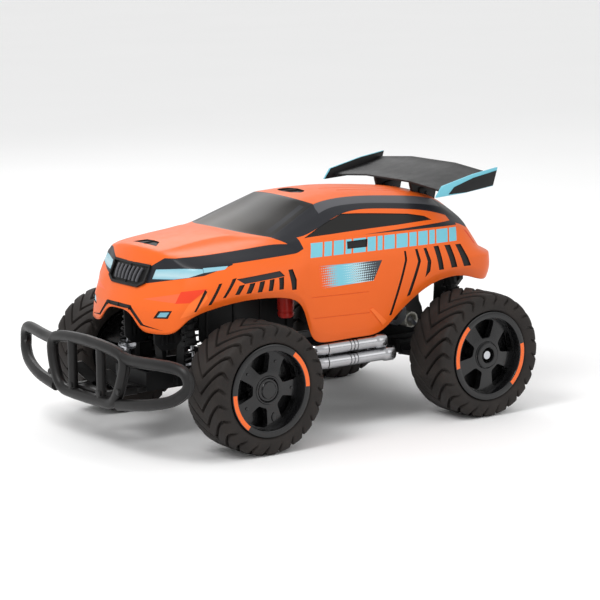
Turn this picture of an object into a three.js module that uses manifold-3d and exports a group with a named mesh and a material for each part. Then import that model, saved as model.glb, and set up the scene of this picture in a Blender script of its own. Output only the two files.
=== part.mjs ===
// Radio-controlled monster truck of the 1:10 class.
// Millimetres, +X to the nose, +Y to the truck's left, +Z up from the ground.
// Every part is modelled from the middle of the wheelbase; the whole truck is then
// shifted so that the origin lies under the middle of its bounding box.

import * as THREE from 'three';
import { mergeVertices } from 'three/addons/utils/BufferGeometryUtils.js';
import { ConvexGeometry } from 'three/addons/geometries/ConvexGeometry.js';
import Module from 'manifold-3d';

const wasm = await Module();
wasm.setup();

// ---------- driving dimensions ----------

const wheelbase = 256.4;
const frontAxleX = wheelbase / 2;
const rearAxleX = -wheelbase / 2;
const axleZ = 60;
const originX = 25.6;

const gap = 0.3;

const tyre = {
  radius: 60, valley: 55.5, cavity: 51.5, bead: 41, inner: 92, outer: 146, sideWall: 5, lugs: 24,
};
const rim = { barrel: 40.6, inside: 38, flange: 44, spokeY: 130, hub: 13 };
const axle = { radius: 4, bore: 4.3, tip: 140 };

const armPivot = { y: 31, z: 58, halfLength: 25, barrel: 4, pin: 1.8, hole: 2.1 };
const kingpin = { y: 84, low: 52.4, high: 67.6, pin: 2.3, hole: 2.6 };
// The ball ends are left loose, because both arms and the steering move them at once.
const steerLink = {
  back: 20, low: 71.5, high: 74.5, stud: 1.2, eye: 4, pad: 6.2, hornPad: 7.5, halfBar: 3, hornPin: 1.5,
};
const servo = { x: frontAxleX - 33.2, shaftTop: 78 };

const frontShock = { x: 155, top: [44, 128], foot: [62, 66] };
const rearShock = { x: -151.5, top: [52, 128], foot: [68, 66] };
const shock = { eye: 5.5, stud: 2.2, bore: 2.5, footBore: 3.4, body: 5.5, bodyEnd: 38, collar: 14 };

const tub = { floor: 48, plate: 3, rim: 66, wall: 2.5, narrow: 27, wide: 50, rear: -172, nose: 188 };
const battery = { halfLength: 44, halfWidth: 18, height: 22 };
const door = { halfLength: 46.5, halfWidth: 19.6, hingeX: 45, hinge: 1.5 };
const powerSwitch = { x: -66, halfSlotX: 5.5, halfSlotY: 2.4, travel: 5 };

const gear = { module: 4 / 3, spurTeeth: 33, pinionTeeth: 9, z: 78, pinionX: 26, pinionZ: 10.4 };

const shellWall = 2.4;

// ---------- materials ----------

function paint(hex, roughness, metalness) {
  return new THREE.MeshStandardMaterial({ color: hex, roughness, metalness });
}

const shellOrange = paint(0xf07332, 0.3, 0);
const moldedBlack = paint(0x151517, 0.55, 0);
const bumperGrey = paint(0x4b4b4d, 0.5, 0.1);
const tyreRubber = paint(0x2b2a29, 0.9, 0);
const rimBlack = paint(0x232323, 0.28, 0);
const brightSteel = paint(0xb9bbbf, 0.25, 1);
const pipeChrome = paint(0xd9dade, 0.12, 1);
const canRed = paint(0xa62a2c, 0.35, 0.2);
const gearWhite = paint(0xd8d6cc, 0.5, 0);
const wrapBlue = paint(0x3d6d9a, 0.5, 0);

// ---------- solids ----------

// A closed geometry as a manifold solid: shared corners merged, needles left out.
function solid(geometry) {
  const plain = geometry.clone();
  for (const name of Object.keys(plain.attributes)) {
    if (name !== 'position') plain.deleteAttribute(name);
  }
  const merged = mergeVertices(plain, 1e-4);
  const corners = [];
  const index = merged.index.array;
  for (let i = 0; i < index.length; i += 3) {
    const [a, b, c] = index.slice(i, i + 3);
    if (a !== b && b !== c && c !== a) corners.push(a, b, c);
  }
  return new wasm.Manifold(new wasm.Mesh({
    numProp: 3,
    vertProperties: new Float32Array(merged.attributes.position.array),
    triVerts: new Uint32Array(corners),
  }));
}

function shapeOf(manifold) {
  const mesh = manifold.getMesh();
  const geometry = new THREE.BufferGeometry();
  geometry.setAttribute('position', new THREE.BufferAttribute(new Float32Array(mesh.vertProperties), 3));
  geometry.setIndex(new THREE.BufferAttribute(new Uint32Array(mesh.triVerts), 1));
  return geometry;
}

function join(...parts) {
  return parts.reduce((whole, part) => whole.add(part));
}

function cut(whole, ...tools) {
  return tools.reduce((rest, tool) => rest.subtract(tool), whole);
}

function box(x, y, z) {
  const geometry = new THREE.BoxGeometry(x[1] - x[0], y[1] - y[0], z[1] - z[0]);
  return solid(geometry.translate((x[0] + x[1]) / 2, (y[0] + y[1]) / 2, (z[0] + z[1]) / 2));
}

// Turns a solid made along local +Y so that it runs from one point towards another.
function aimed(geometry, from, to) {
  const start = new THREE.Vector3(...from);
  const along = new THREE.Vector3(...to).sub(start).normalize();
  const turn = new THREE.Quaternion().setFromUnitVectors(new THREE.Vector3(0, 1, 0), along);
  return geometry.applyQuaternion(turn).translate(start.x, start.y, start.z);
}

function rod(from, to, radius, sides = 10) {
  const length = new THREE.Vector3(...from).distanceTo(new THREE.Vector3(...to));
  const geometry = new THREE.CylinderGeometry(radius, radius, length, sides).translate(0, length / 2, 0);
  return solid(aimed(geometry, from, to));
}

// A turned piece: profile holds [radius, distance] pairs along the line from one point to another.
function turned(profile, from, to, segments = 16) {
  const points = profile.map(([r, t]) => new THREE.Vector2(r, t));
  return solid(aimed(new THREE.LatheGeometry(points, segments), from, to));
}

function outline(points, holes = []) {
  const shape = new THREE.Shape(points.map(([u, v]) => new THREE.Vector2(u, v)));
  shape.holes = holes.map((hole) => new THREE.Path(hole.map(([u, v]) => new THREE.Vector2(u, v))));
  return shape;
}

function slab(shape, depth) {
  return new THREE.ExtrudeGeometry(shape, { depth, bevelEnabled: false, steps: 1 });
}

// An [x, y] outline between two heights.
function plate(points, z, holes) {
  return solid(slab(outline(points, holes), z[1] - z[0]).translate(0, 0, z[0]));
}

// An [x, z] outline between two sideways positions.
function sideProfile(points, y, holes) {
  const geometry = slab(outline(points, holes), y[1] - y[0]);
  return solid(geometry.rotateX(Math.PI / 2).translate(0, y[1], 0));
}

// A [y, z] outline between two lengthwise positions.
function crossProfile(points, x) {
  const geometry = slab(outline(points), x[1] - x[0]);
  return solid(geometry.rotateY(Math.PI / 2).rotateX(Math.PI / 2).translate(x[0], 0, 0));
}

function ring(radius, count, start = 0) {
  return Array.from({ length: count }, (_, i) => {
    const angle = start + (i * 2 * Math.PI) / count;
    return [radius * Math.cos(angle), radius * Math.sin(angle)];
  });
}

function tube(points, radius, steps, sides = 7) {
  const path = new THREE.CatmullRomCurve3(points.map((p) => new THREE.Vector3(...p)), false, 'centripetal');
  const section = outline(ring(radius, sides));
  return solid(new THREE.ExtrudeGeometry(section, { steps, extrudePath: path, bevelEnabled: false }));
}

function mirrored(manifold) {
  const geometry = shapeOf(manifold).scale(1, -1, 1);
  const index = geometry.index.array;
  for (let i = 0; i < index.length; i += 3) [index[i], index[i + 1]] = [index[i + 1], index[i]];
  return solid(geometry);
}

function both(points) {
  return [...points, ...points.map(([x, y, z]) => [x, -y, z])];
}

function hull(points) {
  return solid(new ConvexGeometry(points.map((p) => new THREE.Vector3(...p))));
}

// ---------- assembly ----------

const truck = new THREE.Group();
truck.position.x = -originX;

function add(name, manifold, material) {
  const mesh = new THREE.Mesh(shapeOf(manifold), material);
  mesh.name = name;
  truck.add(mesh);
}

function addPair(name, left, material) {
  add(`${name}_left`, left, material);
  add(`${name}_right`, mirrored(left), material);
}

// ---------- body shell ----------

// Half sections from the lower edge up to the centre line: [x, [[y, z], ...]].
const lowerBody = [
  [160, [[84, 122.5], [88, 138], [84, 160], [74, 177], [40, 186], [0, 188]]],
  [131, [[100, 136], [100, 150], [90, 168], [74, 180], [40, 188], [0, 190]]],
  [67, [[100, 132], [100, 152], [95, 163], [87, 177], [74, 185], [0, 191]]],
  [50, [[99, 94], [100, 127], [95, 158], [86, 183], [60, 188], [0, 191]]],
  [-33, [[99, 89.5], [100, 127], [93, 158], [84, 183], [60, 187], [0, 190]]],
  [-71, [[95, 115], [97, 130], [91, 160], [79, 184], [60, 187], [0, 190]]],
  [-93, [[92, 130.5], [94, 142], [89, 162], [76, 184], [60, 186], [0, 190]]],
  [-150, [[87, 131.5], [88, 142], [80, 160], [70, 178], [50, 182], [0, 186]]],
  [-170, [[79, 121], [80, 140], [72, 156], [66, 166], [50, 170], [0, 172]]],
  [-190.4, [[68, 127], [70, 148], [60, 151], [0, 152]]],
];

const nosePoints = [
  [198, 33, 109], [185, 70, 111], [200, 24, 128], [183, 68, 128], [192.5, 25, 146.5],
  [183, 33, 167], [172, 62, 165], [180, 34, 180], [168, 62, 176], [182, 0, 183.5],
];

const cabinPoints = [
  [86, 60, 180], [48, 84, 181], [-131, 75, 180], [-160, 62, 176],
  [10, 56, 209.5], [-11, 61, 206], [-84, 62, 200], [-22, 48, 212.5], [-95, 48, 207.5],
  [10, 20, 216.5], [-45, 20, 218.5], [-107, 20, 210], [-149, 30, 199.5], [-146, 45, 194],
];

const insideDrop = 60;

// Section points moved inwards by the inset; the lower edge goes down instead, to open the inside.
function sectionPoints([x, half], inset) {
  const points = half.map(([y, z], i) => {
    const isLowerEdge = i === 0;
    const drop = isLowerEdge && inset > 0 ? insideDrop : inset;
    return [x, Math.max(y - inset, 0), z - drop];
  });
  return both(points);
}

// The body's outer form, or its hollow when the inset is positive.
function bodyForm(inset) {
  const ends = lowerBody.map(([x, half], i) => (i === lowerBody.length - 1 ? [x + inset, half] : [x, half]));
  const nose = both(nosePoints.map(([x, y, z]) => [x - inset, Math.max(y - inset, 0), z - inset]));
  const noseFoot = nosePoints.slice(0, 2).map(([x, y, z]) => [x - inset, y - inset, z - insideDrop]);
  const noseHollow = inset > 0 ? both(noseFoot) : [];
  let form = hull([...nose, ...noseHollow, ...sectionPoints(ends[0], inset)]);
  for (let i = 1; i < ends.length; i += 1) {
    form = form.add(hull([...sectionPoints(ends[i - 1], inset), ...sectionPoints(ends[i], inset)]));
  }
  const cabin = cabinPoints.map(([x, y, z]) => [x, y - inset, z - inset]);
  const cabinFoot = cabinPoints.slice(0, 4).map(([x, y, z]) => [x * 0.97, y - inset - 2, z - 25]);
  return form.add(hull(both(inset > 0 ? [...cabin, ...cabinFoot] : cabin)));
}

const noseNotch = [[-33, 100], [-21, 125], [21, 125], [33, 100]];
const grilleFace = { low: [192.5, 146.5], high: [183.4, 166.5], lowHalf: 22, highHalf: 30 };

// A slab that lies on the sloping nose face, between two distances out from it.
function onNoseFace(points, outset) {
  const [lowX, lowZ] = grilleFace.low;
  const [highX, highZ] = grilleFace.high;
  const lean = Math.atan2(lowX - highX, highZ - lowZ);
  const geometry = slab(outline(points), outset[1] - outset[0]).translate(0, 0, outset[0]);
  geometry.rotateY(Math.PI / 2).rotateX(Math.PI / 2).rotateY(-lean);
  return solid(geometry.translate(lowX, 0, lowZ));
}

function grilleSlab(outset, grow) {
  const { low, high, lowHalf, highHalf } = grilleFace;
  const height = Math.hypot(low[0] - high[0], high[1] - low[1]);
  const points = [
    [-lowHalf - grow, -grow], [lowHalf + grow, -grow],
    [highHalf + grow, height + grow], [-highHalf - grow, height + grow],
  ];
  return onNoseFace(points, outset);
}

function grille() {
  const slots = 7;
  const pitch = 22 / slots;
  const slotHeight = 1.4;
  const grooves = Array.from({ length: slots }, (_, i) => {
    const low = (i + 0.3) * pitch;
    const half = grilleFace.lowHalf + 6 * (i / slots) - 2;
    const high = low + slotHeight;
    return onNoseFace([[-half, low], [half, low], [half, high], [-half, high]], [-0.7, 1.3]);
  });
  return cut(grilleSlab([-1.6, 0.2], 0), ...grooves);
}

function bodyShell() {
  const hollow = bodyForm(shellWall);
  const notch = crossProfile(noseNotch, [170, 210]);
  return cut(bodyForm(0), hollow, notch, grilleSlab([-1.6 - gap, 8], gap));
}

// ---------- rear wing ----------

const wing = { half: 90, rise: 0.19, front: -116, rear: -174, thick: 3, frontZ: 219.5, kinkY: 35, kinkDrop: 5 };

function wingForm(grow) {
  const top = wing.thick + grow;
  const { half, kinkY, kinkDrop } = wing;
  const band = [
    [-half, -kinkDrop - grow], [-kinkY, -grow], [kinkY, -grow], [half, -kinkDrop - grow],
    [half, top - kinkDrop], [kinkY, top], [-kinkY, top], [-half, top - kinkDrop],
  ];
  const length = wing.front - wing.rear;
  const geometry = slab(outline(band), length).rotateY(Math.PI / 2).rotateX(Math.PI / 2);
  geometry.translate(-length, 0, 0).rotateY(wing.rise);
  return solid(geometry.translate(wing.front, 0, wing.frontZ));
}

// The wing stands on two struts that follow the roof.
function rearWing() {
  const side = [[-124, 202], [-150, 190], [-160, 230], [-124, 226]];
  const strut = sideProfile(side, [26.5, 30.5]).subtract(bodyForm(-gap));
  const trimmed = strut.subtract(wingForm(0)).intersect(box([-190, -100], [20, 36], [190, 229]));
  const under = trimmed.subtract(wingForm(0).translate([0, 0, 3]));
  return join(wingForm(0), under, mirrored(under));
}

function wingEndPlate() {
  return sideProfile([[-105, 210], [-174, 215], [-180, 233], [-111, 220.5]], [wing.half + gap, wing.half + 3.3]);
}

// ---------- front bumper ----------

const bumper = { tube: 5.5, barY: 25.5 };

function frontBumper() {
  const centre = [
    [235.5, 0, 98.5], [235, 40, 98], [233.5, 62, 96.5], [234.5, 66, 88], [235.5, 61, 70], [236, 52, 50],
    [236, 42, 43.5], [236, 0, 43],
  ];
  const outer = [
    [233.5, 64, 96], [230, 95, 95.5], [223, 125, 96], [219, 137, 93], [217.5, 143.5, 82], [219, 144, 66],
    [223, 136, 54], [232, 103, 48.5], [236, 66, 46], [236, 50, 46],
  ];
  const upright = rod([235.5, bumper.barY, 98], [236, bumper.barY, 43.5], bumper.tube * 0.9, 8);
  const half = join(tube(centre, bumper.tube, 14), tube(outer, bumper.tube, 18), upright);
  const bracket = box([tub.nose + gap, 232], [-bumper.barY - 4, bumper.barY + 4], [48, 53]);
  const window = box([200, 224], [-16, 16], [40, 60]);
  return join(half, mirrored(half), cut(bracket, window));
}

// ---------- side pipes ----------

const pipe = { radius: 6, tip: 7.2, bore: 4.8, y: 97, upper: [44, -36, 79.5], lower: [30, -46, 65] };

function pipeRun([front, rear, z]) {
  const length = front - rear;
  const profile = [
    [0, 0], [pipe.radius - 1, 0], [pipe.radius, 1], [pipe.radius, length - 5], [pipe.tip, length - 4],
    [pipe.tip, length], [pipe.bore, length], [pipe.bore, length - 14], [0, length - 14],
  ];
  return turned(profile, [front, pipe.y, z], [rear, pipe.y, z], 12);
}

function sidePipes() {
  const bracketX = [-24, 18];
  const brackets = bracketX.map((x) => join(
    box([x, x + 6], [pipe.y - 5, pipe.y - 1], [pipe.lower[2], pipe.upper[2]]),
    box([x, x + 6], [tub.wide + gap, pipe.y - 3], [58, 64]),
    box([x, x + 6], [pipe.y - 7, pipe.y - 3], [58, pipe.lower[2]]),
  ));
  return join(pipeRun(pipe.upper), pipeRun(pipe.lower), ...brackets);
}

// ---------- chassis ----------

function tubOutline(inset) {
  const { narrow, wide, rear, nose } = tub;
  const left = [
    [rear + inset, narrow - inset], [-66, narrow - inset], [-55, wide - inset],
    [57, wide - inset], [68, narrow - inset], [nose - inset, narrow - inset],
  ];
  return [...left, ...left.map(([x, y]) => [x, -y]).reverse()].reverse();
}

// Ears outside the tub that carry both ends of an arm's hinge pin.
function armLugs(axleX) {
  const reach = armPivot.halfLength + 0.4;
  const ends = [[axleX - reach - 5, axleX - reach], [axleX + reach, axleX + reach + 5]];
  const ears = ends.map((x) => box(x, [tub.narrow - 1, armPivot.y + 4.5], [52, 63.5]));
  const bore = rod([axleX - 40, armPivot.y, armPivot.z], [axleX + 40, armPivot.y, armPivot.z], armPivot.hole, 8);
  return join(...ears).subtract(bore);
}

function chassisTub() {
  const { floor, plate: thick, rim: top, wall } = tub;
  const body = plate(tubOutline(0), [floor, top]);
  const hollow = plate(tubOutline(wall), [floor + thick, top + 5]);
  const doorway = box([-door.halfLength - 0.5, door.halfLength + 0.5],
    [-door.halfWidth - 0.4, door.halfWidth + 0.4], [floor - 5, floor + thick + 1]);
  const slot = box([powerSwitch.x - powerSwitch.halfSlotX, powerSwitch.x + powerSwitch.halfSlotX],
    [-powerSwitch.halfSlotY, powerSwitch.halfSlotY], [floor - 5, floor + thick + 1]);
  const lugs = join(armLugs(frontAxleX), armLugs(rearAxleX));
  return join(cut(body, hollow, doorway, slot), lugs, mirrored(lugs));
}

function batteryDoor() {
  const { hingeX, hinge, halfLength, halfWidth } = door;
  const midZ = tub.floor + hinge;
  const round = Array.from({ length: 7 }, (_, i) => {
    const angle = -Math.PI / 2 + (i * Math.PI) / 6;
    return [hingeX + hinge * Math.cos(angle), midZ + hinge * Math.sin(angle)];
  });
  const leaf = sideProfile([[-halfLength, midZ - hinge], ...round, [-halfLength, midZ + hinge]],
    [-halfWidth, halfWidth]);
  const fingerNotch = box([-halfLength - 1, -halfLength + 5], [-7, 7], [tub.floor - 1, tub.floor + 1.2]);
  return leaf.subtract(fingerNotch);
}

function batteryPack() {
  const { halfLength, halfWidth, height } = battery;
  const low = tub.floor + tub.plate + gap;
  const half = halfWidth;
  const section = [
    [-half, low], [half, low], [half, low + height - 5], [half - 5, low + height],
    [-half + 5, low + height], [-half, low + height - 5],
  ];
  return crossProfile(section, [-halfLength, halfLength]);
}

function switchSlider() {
  const { x, halfSlotX, halfSlotY, travel } = powerSwitch;
  const start = x - halfSlotX + gap;
  const knobLength = 2 * (halfSlotX - gap) - travel;
  const knob = box([start, start + knobLength], [-halfSlotY + gap, halfSlotY - gap],
    [tub.floor + 0.4, tub.floor + tub.plate + 1]);
  const flange = box([start - 3, start + knobLength + 3], [-5, 5],
    [tub.floor + tub.plate + gap, tub.floor + tub.plate + 2.3]);
  return knob.add(flange);
}

function receiverBox() {
  const low = tub.floor + tub.plate + gap;
  const lid = plate([[-40, 27], [38, 27], [38, 45], [-40, 45]], [low, low + 15]);
  const connector = box([-20, 12], [31, 41], [low + 15, low + 18]);
  return lid.add(connector);
}

function steeringServo() {
  const low = tub.floor + tub.plate + gap;
  const caseBox = box([servo.x - 24, servo.x + 9], [-10, 10], [low, 69]);
  const ears = box([servo.x - 29, servo.x + 10], [-7, 7], [62, 64.5]);
  const boss = rod([servo.x, 0, 68], [servo.x, 0, 71], 6);
  return join(caseBox, ears, boss, rod([servo.x, 0, 69], [servo.x, 0, servo.shaftTop + 1.4], 2.4));
}

function servoHorn() {
  const pinX = frontAxleX - steerLink.back;
  const arm = plate([[servo.x - 4.5, -4.5], [pinX + 3, -3.2], [pinX + 3, 3.2], [servo.x - 4.5, 4.5]],
    [servo.shaftTop - 2.4, servo.shaftTop]);
  const pin = rod([pinX, 0, steerLink.low], [pinX, 0, servo.shaftTop - 1], steerLink.hornPin, 8);
  return cut(arm, rod([servo.x, 0, 70], [servo.x, 0, 90], 2.7)).add(pin);
}

function tieRod() {
  const x = frontAxleX - steerLink.back;
  const studY = kingpin.y;
  const z = [steerLink.low, steerLink.high];
  const bar = box([x - steerLink.halfBar, x + steerLink.halfBar], [-studY, studY], z);
  const pad = (y, radius) => plate(ring(radius, 10).map(([u, v]) => [x + u, y + v]), z);
  const slotShape = [[-4.2, -2.1], [4.2, -2.1], [4.2, 2.1], [-4.2, 2.1]].map(([u, v]) => [x + u, v]);
  const hole = (y) => rod([x, y, 60], [x, y, 90], steerLink.eye);
  const ends = [pad(studY, steerLink.pad), pad(-studY, steerLink.pad)];
  const whole = join(bar, ...ends, pad(0, steerLink.hornPad));
  return cut(whole, hole(studY), hole(-studY), plate(slotShape, [60, 90]));
}

// ---------- shock towers and posts ----------

function tower(thickX, shockSpec, studEnd, postX, postTop) {
  const [topY, topZ] = shockSpec.top;
  const low = tub.floor + tub.plate + gap;
  const inner = tub.narrow - tub.wall - gap;
  const half = [
    [inner, low], [inner, tub.rim + 2], [inner + 4, 92], [topY + 5, topZ - 8], [topY + 5, topZ + 5],
    [topY - 6, topZ + 6], [26, topZ - 4],
  ];
  const left = half.map(([y, z]) => [-y, z]).reverse();
  const web = crossProfile([...half, ...left], thickX);
  const window = crossProfile([[-12, 66], [12, 66], [16, 110], [-16, 110]], [thickX[0] - 1, thickX[1] + 1]);
  const middleX = (thickX[0] + thickX[1]) / 2;
  const studs = [topY, -topY].map((y) => rod([middleX, y, topZ], [studEnd, y, topZ], shock.stud, 8));
  const posts = [30, -30].map((y) => rod([postX, y, topZ - 6], [postX, y, postTop], 3.5, 8));
  return join(web.subtract(window), ...studs, ...posts);
}

const frontTowerX = [140.5, 145];
const rearTowerX = [-166, -161.5];

// ---------- suspension ----------

function footStud(shockSpec, bossX, studEnd) {
  const [y, z] = shockSpec.foot;
  const boss = box(bossX, [y - 4.5, y + 4.5], [55, z + 4]);
  return boss.add(rod([(bossX[0] + bossX[1]) / 2, y, z], [studEnd, y, z], shock.stud, 8));
}

function hingeBarrel(axleX) {
  const { y, z, halfLength, barrel, pin } = armPivot;
  const reach = halfLength + 4.8;
  return join(
    rod([axleX - halfLength, y, z], [axleX + halfLength, y, z], barrel),
    rod([axleX - reach, y, z], [axleX + reach, y, z], pin, 8),
  );
}

function frontArm() {
  const x = frontAxleX;
  const blade = plate([[x - 24, 31], [x + 24, 31], [x + 23, 68], [x + 7, 77.8], [x - 7, 77.8], [x - 12, 66]],
    [54, 59], [[[x - 12, 40], [x + 6, 40], [x + 8, 60], [x - 4, 66]].reverse()]);
  const web = box([x - 7, x + 7], [68, 75], [46, 73.5]);
  const ears = [[46, kingpin.low - gap], [kingpin.high + gap, 73.5]].map((z) => join(
    box([x - 6, x + 6], [72, kingpin.y], z),
    rod([x, kingpin.y, z[0]], [x, kingpin.y, z[1]], 6, 12),
  ));
  const bore = rod([x, kingpin.y, 40], [x, kingpin.y, 80], kingpin.hole);
  return join(blade, hingeBarrel(x), join(web, ...ears).subtract(bore), footStud(frontShock, [147, 151.5], 159));
}

function frontKnuckle() {
  const x = frontAxleX;
  const studX = x - steerLink.back;
  const studY = kingpin.y;
  const post = rod([x, kingpin.y, kingpin.low], [x, kingpin.y, kingpin.high], 5.5, 12);
  const pin = rod([x, kingpin.y, 47], [x, kingpin.y, 72.8], kingpin.pin);
  const stub = rod([x, kingpin.y, axleZ], [x, axle.tip - 1.4, axleZ], axle.radius, 12);
  const shoulder = rod([x, kingpin.y, axleZ], [x, 99, axleZ], 7, 12);
  const lever = plate([[x, kingpin.y - 3], [x, kingpin.y + 3], [studX, studY + 3], [studX, studY - 3]], [61, 65]);
  const leverEnd = rod([studX, studY, 61], [studX, studY, 65], 3.4);
  const stud = rod([studX, studY, 63], [studX, studY, 80.5], steerLink.stud, 8);
  return join(post, pin, stub, shoulder, lever, leverEnd, stud);
}

const hubCarrier = { inner: 72.5, outer: 98, radius: 9 };

function rearArm() {
  const x = rearAxleX;
  const blade = plate([[x - 24, 31], [x + 24, 31], [x + 9, 86], [x - 9, 86], [x - 23, 74]],
    [47.5, 52.3], [[[x - 8, 42], [x + 10, 42], [x + 4, 62], [x - 6, 62]].reverse()]);
  const root = box([x - 24, x + 24], [31, 35], [47.5, 58]);
  const carrier = rod([x, hubCarrier.inner, axleZ], [x, hubCarrier.outer, axleZ], hubCarrier.radius, 16);
  const foot = box([x - 8, x + 8], [hubCarrier.inner, 86], [48, 58]);
  const bearing = rod([x, 60, axleZ], [x, 110, axleZ], axle.bore, 12);
  const stud = footStud(rearShock, [-148.5, -144], -156.5);
  const saddle = box([-148.5, -144], [rearShock.foot[0] - 4.5, rearShock.foot[0] + 4.5], [48, 60]);
  return join(blade, root, hingeBarrel(x), join(carrier, foot).subtract(bearing), stud, saddle);
}

// ---------- rear drive ----------

const cups = {
  innerY: 9.5, innerEnd: 22, radius: 8, bore: 6.6, axleY: 62, axleEnd: 71.5, axleRadius: 7, axleBore: 5.4,
};
const shaftEnds = { inner: [19.5, gear.z], outer: [66, axleZ], ball: 3.4, rod: 2.2 };
const gearY = [-5, 1];

// A spur gear blank with straight-sided teeth, thin enough to run free.
function gearOutline(teeth, firstTooth) {
  const pitch = (gear.module * teeth) / 2;
  const flanks = [[pitch - 1.35, 1.15], [pitch + 1, 0.35]];
  return Array.from({ length: teeth }, (_, i) => {
    const angle = firstTooth + (i * 2 * Math.PI) / teeth;
    const corner = (radius, halfWidth, side) => {
      const a = angle + (side * halfWidth) / radius;
      return [radius * Math.cos(a), radius * Math.sin(a)];
    };
    const [root, tip] = flanks;
    return [corner(...root, -1), corner(...tip, -1), corner(...tip, 1), corner(...root, 1)];
  }).flat();
}

const meshAngle = Math.atan2(gear.pinionZ, gear.pinionX);

function diffGear() {
  const wheel = sideProfile(gearOutline(gear.spurTeeth, meshAngle), gearY);
  const hub = cups.innerY;
  const half = [
    [0, 0], [4, 0], [4, hub], [cups.radius, hub], [cups.radius, cups.innerEnd],
    [cups.bore, cups.innerEnd], [cups.bore, hub + 2], [0, hub + 2],
  ];
  const sides = [1, -1].map((side) => turned(half, [0, 0, 0], [0, side, 0], 12));
  return join(wheel, ...sides).translate([rearAxleX, 0, gear.z]);
}

const pinionPlace = [rearAxleX + gear.pinionX, 0, gear.z + gear.pinionZ];

function motorPinion() {
  const gapFacing = meshAngle + Math.PI + Math.PI / gear.pinionTeeth;
  const teeth = sideProfile(gearOutline(gear.pinionTeeth, gapFacing), gearY);
  const shaft = rod([0, -5, 0], [0, 16, 0], 1.5, 8);
  return join(teeth, shaft).translate(pinionPlace);
}

function driveMotor() {
  const [x, , z] = pinionPlace;
  const profile = [
    [0, 10], [2, 10], [2, 0], [5, 0], [5, 1.5], [11, 1.5],
    [12, 3], [12, 25], [11, 26.5], [4, 26.5], [4, 28], [0, 28],
  ];
  return turned(profile, [x, 6.9, z], [x, 60, z], 16);
}

const caseWall = 2.4;

// Cuts the underside of the gear case flat, just clear of the tub's floor.
function aboveFloor(shape) {
  return shape.intersect(box([-200, 0], [-20, 20], [tub.floor + tub.plate + gap, 130]));
}

// The gear case follows both gears; it grows or shrinks by the offset.
function caseForm(offset, y) {
  const around = ([x, , z], radius) => {
    const points = ring(radius + offset, 20).map(([u, v]) => [x + u, z + v]);
    return points.flatMap(([u, v]) => [[u, y[0], v], [u, y[1], v]]);
  };
  return hull([...around([rearAxleX, 0, gear.z], 24.2), ...around(pinionPlace, 8.2)]);
}

function shaftHoles(y) {
  const [x, , z] = pinionPlace;
  return join(
    rod([rearAxleX, y[0], gear.z], [rearAxleX, y[1], gear.z], 4.5, 12),
    rod([x, y[0], z], [x, y[1], z], 2, 8),
  );
}

function gearCase() {
  return aboveFloor(cut(caseForm(caseWall, [-9, 3.5]), caseForm(0, [-6.5, 5]), shaftHoles([-10, -6])));
}

function gearCover() {
  return aboveFloor(caseForm(caseWall, [3.8, 6.4]).subtract(shaftHoles([3, 7])));
}

function driveShaft() {
  const { inner, outer, ball, rod: radius } = shaftEnds;
  const from = [rearAxleX, inner[0], inner[1]];
  const to = [rearAxleX, outer[0], outer[1]];
  const length = Math.hypot(outer[0] - inner[0], outer[1] - inner[1]);
  const arc = (middle, start, end) => Array.from({ length: 5 }, (_, i) => {
    const angle = start + ((end - start) * i) / 4;
    return [ball * Math.sin(angle), middle - ball * Math.cos(angle)];
  });
  const neckAngle = Math.PI - Math.asin(radius / ball);
  const profile = [...arc(0, 0, neckAngle), ...arc(length, Math.PI - neckAngle, Math.PI)];
  profile[0][0] = 0;
  profile[profile.length - 1][0] = 0;
  return turned(profile, from, to, 10);
}

function rearAxle() {
  const { axleY, axleEnd, axleRadius, axleBore } = cups;
  const profile = [
    [0, axleEnd - 2], [axleBore, axleEnd - 2], [axleBore, axleY], [axleRadius, axleY],
    [axleRadius, axleEnd], [axle.radius, axleEnd], [axle.radius, axle.tip], [0, axle.tip],
  ];
  return turned(profile, [rearAxleX, 0, axleZ], [rearAxleX, 1, axleZ], 12);
}

// ---------- wheels ----------

function tyreBody() {
  const { radius, valley, bead, inner, outer, lugs } = tyre;
  const pitch = (2 * Math.PI) / lugs;
  const tipShare = 0.26;
  const valleyShare = 0.36;
  const flat = radius / Math.cos(tipShare * pitch);
  const corners = [[valley, -valleyShare], [flat, -tipShare], [flat, tipShare], [valley, valleyShare]];
  const points = Array.from({ length: lugs }, (_, i) => corners.map(([r, share]) => {
    const angle = (i + share) * pitch - Math.PI / 2;
    return [r * Math.cos(angle), r * Math.sin(angle)];
  })).flat();
  const side = tyre.sideWall;
  const cavity = [
    [bead - 3, inner + side], [tyre.cavity, inner + side], [tyre.cavity, outer - side],
    [bead - 3, outer - side], [bead - 3, inner + side],
  ];
  const whole = sideProfile(points, [inner, outer], [ring(bead, 20).reverse()]);
  return whole.subtract(turned(cavity, [0, 0, 0], [0, 1, 0], 20));
}

function spokeWindow(index) {
  const middle = Math.PI / 2 + (index * 2 * Math.PI) / 5;
  const innerHalf = 0.3;
  const outerHalf = 0.42;
  const arc = (radius, half, count) => Array.from({ length: count }, (_, i) => {
    const angle = middle - half + (2 * half * i) / (count - 1);
    return [radius * Math.cos(angle), radius * Math.sin(angle)];
  });
  return [...arc(35, outerHalf, 4), ...arc(17, innerHalf, 2).reverse()].reverse();
}

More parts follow.
